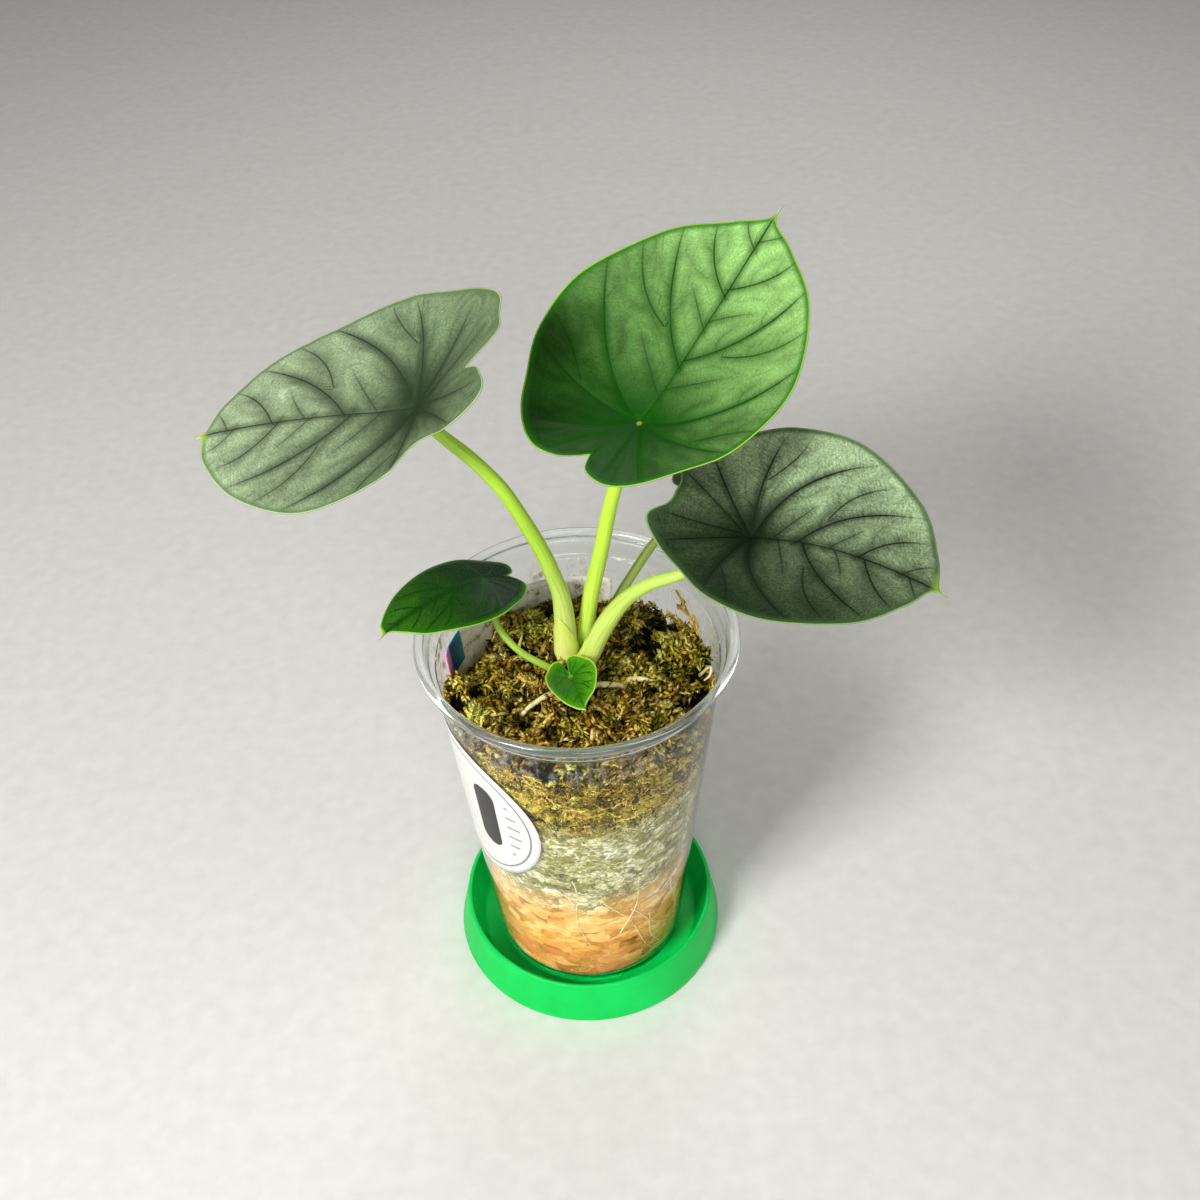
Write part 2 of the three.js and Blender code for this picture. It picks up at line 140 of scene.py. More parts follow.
# Saucer: a low dish of bright green printed plastic, leaning in to a thin lip. The printer's layers show as
# faint level lines, and each starts at one seam on the right.
SAUCER_PROFILE = [
    (0, 0), (44.9, 0), (45.3, 0), (45.8, 0.2), (46, 0.7), (45.9, 1.1), (43.1, 15.0), (43.0, 15.4), (42.7, 15.9),
    (42.2, 16), (41.7, 15.8), (41.6, 15.4), (38.4, 3.6), (38.3, 3.2), (37.9, 2.3), (37.2, 2), (36.8, 2), (0, 2)]
SEAM_HEADING, SEAM_WIDTH, SEAM_DEPTH = math.radians(-38), 0.02, 0.25 * MM
OUTER_SIDE = 42.4 * MM


def turned(profile, steps):
    """A bmesh spun about Z from [radius, height] points in millimetres."""
    bm = bmesh.new()
    points = [bm.verts.new((radius * MM, 0, height * MM)) for radius, height in profile]
    edges = [bm.edges.new(pair) for pair in zip(points, points[1:])]
    bmesh.ops.spin(bm, geom=points + edges, cent=(0, 0, 0), axis=(0, 0, 1), dvec=(0, 0, 0),
                   angle=2 * math.pi, steps=steps, use_merge=True, use_duplicate=False)
    bmesh.ops.remove_doubles(bm, verts=bm.verts, dist=0.001 * MM)
    return bm


def place_piece(mesh, name, materials, slot, *replaced):
    """Makes a piece of a mesh, and says what it rides on and stands for. slot is not used."""
    for material in materials:
        mesh.materials.append(material)
    mesh.polygons.foreach_set("use_smooth", [True] * len(mesh.polygons))
    piece = bpy.data.objects.new(name, mesh)
    bpy.context.scene.collection.objects.link(piece)
    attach(piece, "root")
    if replaced:
        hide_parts(*replaced)
    return piece


def finish_piece(bm, name, materials, slot, *replaced):
    """Turns a bmesh's faces outwards and makes a piece of it."""
    bmesh.ops.recalc_face_normals(bm, faces=bm.faces)
    mesh = bpy.data.meshes.new(name)
    bm.to_mesh(mesh)
    bm.free()
    return place_piece(mesh, name, materials, slot, *replaced)


# Printed PLA: saturated green with a satin skin. Its layers are 0.2 mm in life, too fine to show, and are drawn
# as faint waves 4.4 mm apart. A wave texture turns through 20 radians for each unit of its scale.
WAVE_STEP = 0.7 * math.tau
pla = new_material("printed_pla", Roughness=0.42, IOR=1.46, Specular_IOR_Level=0.25)
pla_place = add_node(pla, "TexCoord").outputs["Object"]
pla_cloud = add_node(pla, "TexNoise", {"Vector": pla_place, "Scale": 60.0, "Detail": 4.0})
pla_layers = add_node(pla, "TexWave", {"Vector": pla_place, "Scale": math.tau / (WAVE_STEP * MM) / 20,
                                       "Distortion": 0.4}, bands_direction="Z")
feed(pla, Base_Color=add_node(pla, "ValToRGB", [pla_cloud], [(0.3, "#00cc50"), (0.7, "#00e062")]),
     Roughness=add_node(pla, "MapRange", [pla_cloud, 0, 1, 0.34, 0.5]),
     Normal=add_node(pla, "Bump", {"Height": pla_layers.outputs["Fac"], "Strength": 0.25, "Distance": 0.05 * MM}))

saucer = turned(SAUCER_PROFILE, steps=160)
for vert in saucer.verts:
    heading = math.atan2(vert.co.y, vert.co.x)
    radius = vert.co.xy.length
    if radius > OUTER_SIDE:
        vert.co.xy *= 1 - SEAM_DEPTH * math.exp(-(((heading - SEAM_HEADING) / SEAM_WIDTH) ** 2)) / radius
finish_piece(saucer, "saucer_dish", [pla], "saucer", "saucer")

# Cup: a clear drinking cup, drawn thin from a sheet of PET. It has a raised foot, a stepped band under a
# rolled rim, and the scuffs and dried drops of months of watering.
FOOT_RADIUS, FOOT_HEIGHT = 32.3, 2.3
WALL_SLOPE = 11.6 / 128.7
WALL_THICKNESS = 0.8
WALL_HEIGHTS = (7.0, 7.4, 20, 40, 60, 80, 100, 120, 129.6, 130.0)
BAND_FROM = 130.5
RIM_RADIUS, RIM_HEIGHT, RIM_ROLL = 47.5, 138.5, 1.5
RIM_TURNS = [math.radians(turn) for turn in range(150, -111, -20)]


def outer_wall(height):
    return FOOT_RADIUS + WALL_SLOPE * (height - FOOT_HEIGHT)


def inner_wall(height):
    return outer_wall(height) - WALL_THICKNESS


CUP_PROFILE = [
    # The floor and the wall from inside, then the stepped band
    (0, 5.3), (29.9, 5.3), (30.3, 5.3), (31.2, 5.5), (31.7, 6.1),
    *((inner_wall(height), height) for height in WALL_HEIGHTS),
    (43.3, 130.8), (43.7, 131.2), (44.2, 131.6), (44.6, 132.2), (44.7, 132.6), (44.75, 134.0), (45.0, 134.6),
    (45.3, 135.4), (45.5, 136.6), (45.9, 137.9),
    # The rolled rim, then the band and the wall from outside, and the raised foot
    *((RIM_RADIUS + RIM_ROLL * math.cos(turn), RIM_HEIGHT + RIM_ROLL * math.sin(turn)) for turn in RIM_TURNS),
    (46.3, 136.6), (46.05, 135.2), (45.8, 134.4), (45.6, 133.6), (45.4, 132.2), (45.2, 131.5), (44.7, 131.0),
    (44.2, 130.7), *((outer_wall(height), height) for height in reversed(WALL_HEIGHTS)),
    (32.45, 4.2), (32.3, 3.2), (31.9, 2.6), (31.3, 2.35), (30.4, 2.35), (29.6, 2.6), (29.0, 3.4), (28.6, 4.1),
    (28.0, 4.5), (27.6, 4.5), (0, 4.5)]

# PET's own IOR of 1.57 would lay the pale studio over the moss, so the wall's is 1.15, and the rim's 1.4
pet = new_material("clear_pet", IOR=1.15, Roughness=0.06, Specular_IOR_Level=0.3, Base_Color="#f7faf7")
pet_place = add_node(pet, "TexCoord").outputs["Object"]
pet_height = add_node(pet, "SeparateXYZ", [pet_place]).outputs["Z"]
pet_cloud = add_node(pet, "TexNoise", {"Vector": pet_place, "Scale": 1 / (14 * MM), "Detail": 6.0,
                                       "Roughness": 0.65})
# Dried drops, about 2.5 mm, cling to the bare wall above the moss
pet_drops = add_node(pet, "TexVoronoi", {"Vector": pet_place, "Scale": 1 / (3.2 * MM)}, feature="SMOOTH_F1")
pet_drop_edge = add_node(pet, "MapRange", [pet_drops, 0.42, 0.16, 0, 1])
pet_above = add_node(pet, "MapRange", [pet_height, 116 * MM, 122 * MM])
pet_below = add_node(pet, "MapRange", [pet_height, 132 * MM, 129 * MM])
pet_band = add_node(pet, "Math", [pet_above, pet_below], operation="MULTIPLY")
pet_patch = add_node(pet, "MapRange", [pet_cloud, 0.46, 0.62])
pet_spots = add_node(pet, "Math", [pet_drop_edge, pet_band], operation="MULTIPLY")
pet_dried = add_node(pet, "Math", [pet_spots, pet_patch], operation="MULTIPLY")
# Runs of hard water have left pale streaks down the same band
pet_long = add_node(pet, "VectorMath", [pet_place, (1.0, 1.0, 0.13)], operation="MULTIPLY")
pet_run = add_node(pet, "TexNoise", {"Vector": pet_long, "Scale": 1 / (2.4 * MM), "Detail": 4.0})
pet_run_edge = add_node(pet, "MapRange", [pet_run, 0.54, 0.72, 0, 0.5])
pet_streaks = add_node(pet, "Math", [pet_run_edge, pet_band], operation="MULTIPLY")
pet_marks = add_node(pet, "Math", [pet_dried, pet_streaks], operation="MAXIMUM")
pet_mark_part = add_node(pet, "Math", [pet_marks, 0.42], operation="MULTIPLY")
# Mist of condensed water inside the middle of the wall, with a ragged edge
pet_mist_low = add_node(pet, "MapRange", [pet_height, 46 * MM, 60 * MM])
pet_mist_high = add_node(pet, "MapRange", [pet_height, 98 * MM, 84 * MM])
pet_mist = add_node(pet, "Math", [pet_mist_low, pet_mist_high], operation="MULTIPLY")
pet_mist_spread = add_node(pet, "MapRange", [pet_cloud, 0.3, 0.7, 0.25, 1])
pet_fog = add_node(pet, "Math", [pet_mist, pet_mist_spread], operation="MULTIPLY")
pet_fog_part = add_node(pet, "Math", [pet_fog, 0.07], operation="MULTIPLY")
# The rolled rim is thick, and is painted a little milky: a painted reflection for the pale lines of light along
# the roll
pet_rim_painted_reflection = add_node(pet, "MapRange", [pet_height, 134 * MM, 137 * MM, 0, 0.08])
pet_hazy = add_node(pet, "Math", [pet_fog_part, pet_mark_part])
pet_veil = add_node(pet, "Math", [pet_hazy, pet_rim_painted_reflection])
feed(pet, Base_Color=add_node(pet, "MixRGB", [pet_marks, "#f7faf7", "#b8a878"]),
     Transmission_Weight=add_node(pet, "MapRange", [pet_veil, 0, 1, 1, 0]),
     Roughness=add_node(pet, "MapRange", [pet_cloud, 0.35, 0.75, 0.03, 0.16]),
     Normal=add_node(pet, "Bump", {"Height": pet_marks, "Strength": 0.4, "Distance": 0.2 * MM}))
# So thin a wall hardly bends the lamps' light, so it lets it straight through
pet_open = add_node(pet, "BsdfTransparent", ["#eef2ee"])
pet_both = add_node(pet, "MixShader", [add_node(pet, "LightPath").outputs["Is Shadow Ray"],
                                       pet.node_tree.nodes["Principled BSDF"], pet_open])
set_socket(pet, pet.node_tree.nodes["Material Output"].inputs["Surface"], pet_both)
rim_pet = pet.copy()
rim_pet.name = "clear_pet_rim"
feed(rim_pet, IOR=1.4)

cup = turned(CUP_PROFILE, steps=192)
for face in cup.faces:
    face.material_index = int(face.calc_center_median().z > BAND_FROM * MM)
finish_piece(cup, "cup_wall", [pet, rim_pet], "cup", "cup")

# Label: a round patch of white coated paper, 59 mm across, stuck to the outside of the wall. It carries a
# plain ring, an upright black bar and grey ruled lines.
LABEL_HEADING = math.radians(-153)
LABEL_HEIGHT = 87.0
LABEL_RADIUS, LABEL_RINGS = 29.5, 20
LABEL_GAP = 0.18
# The print is measured from the label's middle, with its radius as 1
PRINT_RING, PRINT_RING_WIDTH = 0.89, 0.012
PRINT_BAR_X, PRINT_BAR_Y, PRINT_BAR_REACH, PRINT_BAR_WIDTH = 0.34, 0.05, 0.34, 0.15
PRINT_RULES_FROM, PRINT_RULES_TO = 0.62, 0.78

paper = new_material("coated_paper", Roughness=0.38, IOR=1.5)
paper_place = add_node(paper, "UVMap", uv_map="print")
paper_xy = add_node(paper, "SeparateXYZ", [paper_place]).outputs
paper_reach = add_node(paper, "VectorMath", [paper_place], operation="LENGTH").outputs["Value"]
paper_from_ring = add_node(paper, "Math", [paper_reach, PRINT_RING], operation="SUBTRACT")
paper_ring_gap = add_node(paper, "Math", [paper_from_ring], operation="ABSOLUTE")
paper_ring = add_node(paper, "Math", [paper_ring_gap, PRINT_RING_WIDTH], operation="LESS_THAN")
# The bar has round ends, so it is all that lies near enough to a line
paper_bar_y = add_node(paper, "Math", [paper_xy["Y"], PRINT_BAR_Y], operation="SUBTRACT")
paper_bar_long = add_node(paper, "Math", [paper_bar_y], operation="ABSOLUTE")
paper_bar_past = add_node(paper, "Math", [paper_bar_long, PRINT_BAR_REACH], operation="SUBTRACT")
paper_bar_end = add_node(paper, "Math", [paper_bar_past, 0], operation="MAXIMUM")
paper_bar_x = add_node(paper, "Math", [paper_xy["X"], PRINT_BAR_X], operation="SUBTRACT")
paper_bar_spot = add_node(paper, "CombineXYZ", [paper_bar_x, paper_bar_end])
paper_bar_gap = add_node(paper, "VectorMath", [paper_bar_spot], operation="LENGTH").outputs["Value"]
paper_bar = add_node(paper, "Math", [paper_bar_gap, PRINT_BAR_WIDTH], operation="LESS_THAN")
paper_waves = add_node(paper, "TexWave", {"Vector": paper_place, "Scale": 1.9}, bands_direction="Y")
paper_rule = add_node(paper, "Math", [paper_waves.outputs["Fac"], 0.93], operation="GREATER_THAN")
paper_rule_from = add_node(paper, "Math", [paper_xy["X"], PRINT_RULES_FROM], operation="GREATER_THAN")
paper_rule_to = add_node(paper, "Math", [paper_reach, PRINT_RULES_TO], operation="LESS_THAN")
paper_rule_in = add_node(paper, "Math", [paper_rule_from, paper_rule_to], operation="MULTIPLY")
paper_lines = add_node(paper, "Math", [paper_rule, paper_rule_in], operation="MULTIPLY")
paper_grey = add_node(paper, "Math", [paper_ring, paper_lines], operation="MAXIMUM")
paper_fibre = add_node(paper, "TexNoise", {"Vector": paper_place, "Scale": 24.0, "Detail": 5.0})
paper_white = add_node(paper, "ValToRGB", [paper_fibre], [(0.3, "#e9e9e4"), (0.6, "#f6f6f2")])
paper_printed = add_node(paper, "MixRGB", [paper_grey, paper_white, "#8d9094"])
feed(paper, Base_Color=add_node(paper, "MixRGB", [paper_bar, paper_printed, "#101112"]))


def spot_at(radius, heading, height):
    """The point at a distance from the cup's axis, in a direction from it, and at a height."""
    return radius * math.cos(heading), radius * math.sin(heading), height


def thicken(piece, name, thickness):
    """Gives a sheet its thickness, in millimetres, half on each side."""
    wall = piece.modifiers.new(name, "SOLIDIFY")
    wall.thickness = thickness * MM
    wall.offset = 0.0
    return wall


label = turned([(LABEL_RADIUS * ring / LABEL_RINGS, 0) for ring in range(LABEL_RINGS + 1)], steps=96)
label_print = label.loops.layers.uv.new("print")
for face in label.faces:
    for loop in face.loops:
        loop[label_print].uv = loop.vert.co.xy / (LABEL_RADIUS * MM)
for vert in label.verts:
    across, up = vert.co.xy / MM
    heading = LABEL_HEADING + across / outer_wall(LABEL_HEIGHT)
    vert.co = Vector(spot_at(outer_wall(LABEL_HEIGHT + up) + LABEL_GAP, heading, LABEL_HEIGHT + up)) * MM
thicken(finish_piece(label, "round_label", [paper], "label", "label"), "paper_thickness", 0.15)

# Tag: a strip of white polypropylene, written on one side and sprung against the inside of the wall behind
# the plant. One end has a printed block of colour, and the moss has left crumbs on it.
TAG_FROM, TAG_TO = math.radians(73), math.radians(169)
TAG_LOW, TAG_HIGH = 104.5, 124.6
TAG_GAP, TAG_WAVE = 0.75, 0.25
INK_FROM, INK_ABOVE = 57.0, 8.5

tag_plastic = new_material("white_polypropylene", Roughness=0.33, IOR=1.49)
tag_place = add_node(tag_plastic, "UVMap", uv_map="strip")
tag_xy = add_node(tag_plastic, "SeparateXYZ", [tag_place]).outputs
tag_dirt = add_node(tag_plastic, "TexNoise", {"Vector": tag_place, "Scale": 0.22, "Detail": 7.0,
                                              "Roughness": 0.7})
tag_white = add_node(tag_plastic, "ValToRGB", [tag_dirt],
                     [(0.36, "#7d6f42"), (0.43, "#d9d3c0"), (0.6, "#f3f1ec")])
tag_ink_share = add_node(tag_plastic, "MapRange", [tag_xy["X"], 56.0, 68.0])
tag_ink_tone = add_node(tag_plastic, "ValToRGB", [tag_ink_share], [
    (0.0, "#0d8f96"), (0.4, "#13607f"), (0.72, "#23305f"), (0.8, "#9a86c8"), (0.95, "#e98fb5")])
tag_ink_from = add_node(tag_plastic, "Math", [tag_xy["X"], INK_FROM], operation="GREATER_THAN")
tag_ink_above = add_node(tag_plastic, "Math", [tag_xy["Y"], INK_ABOVE], operation="GREATER_THAN")
tag_ink = add_node(tag_plastic, "Math", [tag_ink_from, tag_ink_above], operation="MULTIPLY")
feed(tag_plastic, Base_Color=add_node(tag_plastic, "MixRGB", [tag_ink, tag_white, tag_ink_tone]))


def flat_sheet(uv_name, columns, rows, width=1.0, height=1.0):
    """A bmesh grid from 0 to 1 both ways, with a UV map that runs to its real width and height."""
    bm = bmesh.new()
    bmesh.ops.create_grid(bm, x_segments=columns, y_segments=rows, size=0.5)
    bmesh.ops.translate(bm, verts=bm.verts, vec=(0.5, 0.5, 0))
    layer = bm.loops.layers.uv.new(uv_name)
    for face in bm.faces:
        for loop in face.loops:
            loop[layer].uv = (loop.vert.co.x * width, loop.vert.co.y * height)
    return bm


tag = flat_sheet("strip", 64, 8, (TAG_TO - TAG_FROM) * inner_wall(TAG_LOW), TAG_HIGH - TAG_LOW)
for vert in tag.verts:
    along, up, _ = vert.co
    height = TAG_LOW + (TAG_HIGH - TAG_LOW) * up
    radius = inner_wall(height) - TAG_GAP - TAG_WAVE * math.sin(9 * along) ** 2
    vert.co = Vector(spot_at(radius, TAG_FROM + (TAG_TO - TAG_FROM) * along, height)) * MM
thicken(finish_piece(tag, "plant_tag_strip", [tag_plastic], "tag", "plant_tag"), "sheet_thickness", 0.4)

# Moss: a plug of packed sphagnum. The live top grows in curly clumps with dark hollows between them, their
# darkness painted shade; at the wall the moss is pressed flat, misted in the middle and stained peach lower down.
MOSS_FLOOR, MOSS_LEVEL, MOSS_REACH = 5.8, 117.0, 40
# How far plug, strands and leaflets stay off the wall
PLUG_GAP, STRAND_GAP, LEAFLET_GAP = 0.45, 0.35, 0.25
GULLY_HEADING = 152.0
MOUND, RIGHT_MOUND = (-13, 20), (28, 3)
# Where strands keep out, each an x, a y and a reach: about the stalks' feet, then along the roots on top
BARE_SPOTS = [(-3.5, 9.7, 4.6), (2.6, 13.0, 3.2), (2.0, 4.6, 3.8), (7.4, 15.5, 2.2), (-7.4, 4.0, 2.0),
              (-1.5, -1.0, 1.5), (-7.3, -6.3, 1.7), (-12, -9.5, 1.7), (-15.8, -11.6, 1.4), (4.4, -3.9, 1.6),
              (8.5, -4.8, 1.6), (12.7, -4.5, 1.5), (18, -3, 1.6), (21.5, -3, 1.4)]
moss_random = random.Random(11)


def smooth_between(value, low, high):
    share = min(max((value - low) / (high - low), 0), 1)
    return share * share * (3 - 2 * share)


def nearness(x, y, spot, spread):
    """1 at a spot on the moss, and falling to 0 round it."""
    return math.exp(-((x - spot[0]) ** 2 + (y - spot[1]) ** 2) / spread)


def moss_height(x, y):
    """The height of the moss, in millimetres: a mound behind, a gully beside the tag, lumps all over."""
    radius = math.hypot(x, y)
    turn = abs(math.degrees(math.atan2(y, x)) - GULLY_HEADING)
    gully = 11 * smooth_between(radius, 27, 36) * (1 - smooth_between(turn, 12, 26))
    mound = 5 * nearness(x, y, MOUND, 130)
    lumps = 1.2 * math.sin(0.33 * x + 1.1) * math.cos(0.29 * y - 0.4) + 0.8 * math.sin(0.61 * x - 0.47 * y)
    behind = 3.5 * smooth_between(radius, 28, 37) * smooth_between(y, 14, 28) * (1 - smooth_between(x, 12, 24))
    return MOSS_LEVEL + mound + lumps + 1.5 * smooth_between(x, 5, 40) - gully - behind


# Tones from the hollows to the lightest leaf, at the foot of the plug, in its misted middle, on its live top,
# where that is greenest, and under it, where the darkest are painted shade for the hollows between the clumps
PEACH_TONES = [(0.0, "#7a4a18"), (0.2, "#bd7c35"), (0.45, "#e8a556"), (0.72, "#f9c477"), (1.0, "#ffe2a0")]
MISTED_TONES = [(0.0, "#2c2c08"), (0.2, "#6c6326"), (0.42, "#a89c5c"), (0.68, "#dfd5a6"), (1.0, "#fbf6e0")]
GOLDEN_TONES = [(0.0, "#0d0802"), (0.22, "#463209"), (0.45, "#8f6b14"), (0.7, "#cf9f35"), (1.0, "#f5dc88")]
GREEN_TONES = [(0.0, "#0d0f02"), (0.22, "#40440a"), (0.45, "#80810f"), (0.7, "#b8b92c"), (1.0, "#e4e066")]
EARTH_AND_SHADE_TONES = [(0.0, "#060401"), (0.25, "#2a1f06"), (0.5, "#6b5517"), (0.75, "#a08432"), (1.0, "#c4a850")]


def moss_material(name, top_tones, grain, tone_range):
    """Sphagnum: matt, fibrous cellulose. Its colour changes with depth in the pot, from patch to patch, and
    from strand to strand by the shade and the greenness that each strand carries."""
    moss = new_material(name, Roughness=0.8, IOR=1.4, Specular_IOR_Level=0.15)
    place = add_node(moss, "TexCoord").outputs["Object"]
    height = add_node(moss, "SeparateXYZ", [place]).outputs["Z"]
    strand_data = add_node(moss, "Attribute", attribute_name="strand").outputs["Vector"]
    strand = add_node(moss, "SeparateXYZ", [strand_data]).outputs
    layered = add_node(moss, "VectorMath", [place, (1.0, 1.0, 1.7)], operation="MULTIPLY")
    patch = add_node(moss, "TexNoise", {"Vector": layered, "Scale": 1 / (10 * MM), "Detail": 6.0,
                                        "Roughness": 0.65})
    fibre = add_node(moss, "TexNoise", {"Vector": place, "Scale": 1 / (grain * MM), "Detail": 5.0,
                                        "Roughness": 0.65, "Distortion": 0.8})
    pick = add_node(moss, "Math", [add_node(moss, "Math", [patch, fibre]), strand["X"]])
    # Crumpled scraps of leaf, 6 mm across, with dark cracks of changing width between them: painted shade in the
    # gaps
    crush = add_node(moss, "TexNoise", {"Vector": place, "Scale": 1 / (8 * MM), "Detail": 3.0}).outputs["Color"]
    wavy = add_node(moss, "VectorMath", [crush, [13 * MM] * 3, layered], operation="MULTIPLY_ADD")
    crumpled = add_node(moss, "VectorMath", [fibre.outputs["Color"], [1.8 * MM] * 3, wavy],
                        operation="MULTIPLY_ADD")
    scrap_cells = {"Vector": crumpled, "Scale": 1 / (6 * MM)}
    scraps = add_node(moss, "TexVoronoi", scrap_cells).outputs["Color"]
    cracks = add_node(moss, "TexVoronoi", scrap_cells, feature="DISTANCE_TO_EDGE")
    crack_width = add_node(moss, "MapRange", [patch, 0.4, 0.65, 0.01, 0.2])
    crack_shade = add_node(moss, "MapRange", [cracks, 0, crack_width, 0.5, 1])
    scrap_shade = add_node(moss, "Math", [scraps, 0.35, pick], operation="MULTIPLY_ADD")
    tone = add_node(moss, "MapRange", [scrap_shade, *tone_range])
    # The foot of the plug is peach, and redder in patches towards the floor
    blobs = add_node(moss, "Math", [scraps, 0.5, patch], operation="MULTIPLY_ADD")
    low = add_node(moss, "ValToRGB", [add_node(moss, "MapRange", [blobs, 0.42, 1.06])], PEACH_TONES)
    blush = add_node(moss, "TexNoise", {"Vector": place, "Scale": 1 / (11 * MM), "Detail": 4.0})
    blush_share = add_node(moss, "MapRange", [blush, 0.45, 0.6, 0, 0.68])
    blush_low = add_node(moss, "MapRange", [height, 36 * MM, 16 * MM, 0, 1])
    blush_there = add_node(moss, "Math", [blush_share, blush_low], operation="MULTIPLY")
    stained = add_node(moss, "MixRGB", [blush_there, low, "#f58d54"])
    # The middle is bleached, with films of algae
    algae = add_node(moss, "TexNoise", {"Vector": layered, "Scale": 1 / (4.5 * MM), "Detail": 6.0,
                                        "Roughness": 0.7})
    algae_share = add_node(moss, "MapRange", [algae, 0.51, 0.56, 0, 0.9])
    misted = add_node(moss, "ValToRGB", [tone], MISTED_TONES)
    middle = add_node(moss, "MixRGB", [algae_share, misted, "#857c12"])
    greener = add_node(moss, "MixRGB", [strand["Y"], add_node(moss, "ValToRGB", [tone], top_tones),
                                        add_node(moss, "ValToRGB", [tone], GREEN_TONES)])
    # The three meet at ragged heights
    wander = add_node(moss, "Math", [patch, 40 * MM], operation="MULTIPLY")
    ragged = add_node(moss, "Math", [height, wander])
    middle_share = add_node(moss, "MapRange", [ragged, 63 * MM, 79 * MM])
    top_share = add_node(moss, "MapRange", [ragged, 108 * MM, 118 * MM])
    lower = add_node(moss, "MixRGB", [middle_share, stained, middle])
    crack_part = add_node(moss, "MapRange", [ragged, 66 * MM, 76 * MM, 0.4, 1])
    cracked = add_node(moss, "MixRGB", [crack_part, lower, crack_shade], blend_type="MULTIPLY")
    feed(moss, Base_Color=add_node(moss, "MixRGB", [top_share, cracked, greener]),
         Normal=add_node(moss, "Bump", {"Height": fibre, "Strength": 0.7, "Distance": 0.4 * MM}))
    return moss


plug_moss = moss_material("packed_sphagnum", EARTH_AND_SHADE_TONES, 1.4, (1.12, 1.64))
strand_moss = moss_material("live_sphagnum", GOLDEN_TONES, 0.9, (1.0, 2.0))

# The plug is a cone of packed moss, pressed smooth against the wall and roughened towards the top
PLUG_SIDES, PLUG_RINGS, PLUG_CUTS = 200, 26, 90
plug = bmesh.new()
plug_shade = plug.verts.layers.float_vector.new("strand")
bmesh.ops.create_cone(plug, cap_ends=False, segments=PLUG_SIDES, radius1=1, radius2=1, depth=1)
bmesh.ops.subdivide_edges(plug, edges=[e for e in plug.edges if abs(e.verts[0].co.z - e.verts[1].co.z) > 0.5],
                          cuts=PLUG_CUTS)
for vert in plug.verts:
    heading = math.atan2(vert.co.y, vert.co.x)
    top = moss_height(*spot_at(MOSS_REACH, heading, 0)[:2]) - 1.5
    height = MOSS_FLOOR + (vert.co.z + 0.5) * (top - MOSS_FLOOR)
    radius = inner_wall(height) - PLUG_GAP
    spot = Vector(spot_at(radius, heading, height))
    rough = 0.35 + 1.6 * smooth_between(height, 82, 104)
    radius -= rough * max(0, noise.fractal(spot * 0.28, 0.8, 2.0, 4) + 0.25)
    vert[plug_shade] = (0.22, 0.15 + 0.5 * noise.noise(spot * 0.15), 0)
    vert.co = Vector(spot_at(radius, heading, height)) * MM
plug_rims = sorted((e for e in plug.edges if e.is_boundary), key=lambda e: e.verts[0].co.z)
for loop_edges, rings in ((plug_rims[:PLUG_SIDES], 1), (plug_rims[PLUG_SIDES:], PLUG_RINGS)):
    for ring in range(1, rings):
        grown = bmesh.ops.extrude_edge_only(plug, edges=loop_edges)["geom"]
        loop_edges = [g for g in grown if isinstance(g, bmesh.types.BMEdge) and g.is_boundary]
        for vert in (g for g in grown if isinstance(g, bmesh.types.BMVert)):
            x, y, _ = spot_at(41.0 * (1 - ring / rings), math.atan2(vert.co.y, vert.co.x), 0)
            rough = 2.2 * noise.fractal(Vector((x, y, 0)) * 0.22, 0.8, 2.0, 4)
            vert.co = Vector((x, y, moss_height(x, y) - 3.4 + rough)) * MM
            # The top takes the darkest end of its tones: painted shade for the hollows under the strands
            vert[plug_shade] = (0, 0, 0)
    bmesh.ops.holes_fill(plug, edges=loop_edges, sides=0)
finish_piece(plug, "moss_plug", [plug_moss], "moss", "moss")


def strand_piece(name, strands, material, slot, sides=0):
    """Many thin strands in one piece. Each is its points, its radii in millimetres, its shade and greenness."""
    curve = bpy.data.curves.new(name, "CURVE")
    curve.dimensions = "3D"
    curve.bevel_depth = MM
    curve.bevel_resolution = sides
    for points, radii, *_ in strands:
        spline = curve.splines.new("POLY")
        spline.points.add(len(points) - 1)
        spline.points.foreach_set("co", [c for x, y, z in points for c in (x * MM, y * MM, z * MM, 1)])
        spline.points.foreach_set("radius", radii)
    skeleton = bpy.data.objects.new("skeleton", curve)
    mesh = bpy.data.meshes.new_from_object(skeleton)
    bpy.data.objects.remove(skeleton)
    around = 4 + 2 * sides
    shades = [c for points, _, shade, green in strands for _ in range(len(points) * around)
              for c in (shade, green, 0)]
    mesh.attributes.new("strand", "FLOAT_VECTOR", "POINT").data.foreach_set("vector", shades)
    bm = bmesh.new()
    bm.from_mesh(mesh)
    bpy.data.meshes.remove(mesh)
    bmesh.ops.holes_fill(bm, edges=[e for e in bm.edges if e.is_boundary], sides=0)
    finish_piece(bm, name, [material], slot)


def keep_clear(x, y):
    """Pushes a spot on the moss out of the bare spots and off the wall."""
    for bare_x, bare_y, reach in BARE_SPOTS:
        gap = math.hypot(x - bare_x, y - bare_y)
        if gap < reach:
            x = bare_x + (x - bare_x) * reach / max(gap, 0.1)
            y = bare_y + (y - bare_y) * reach / max(gap, 0.1)
    shrink = min(1, 39.8 / max(math.hypot(x, y), 1))
    return x * shrink, y * shrink


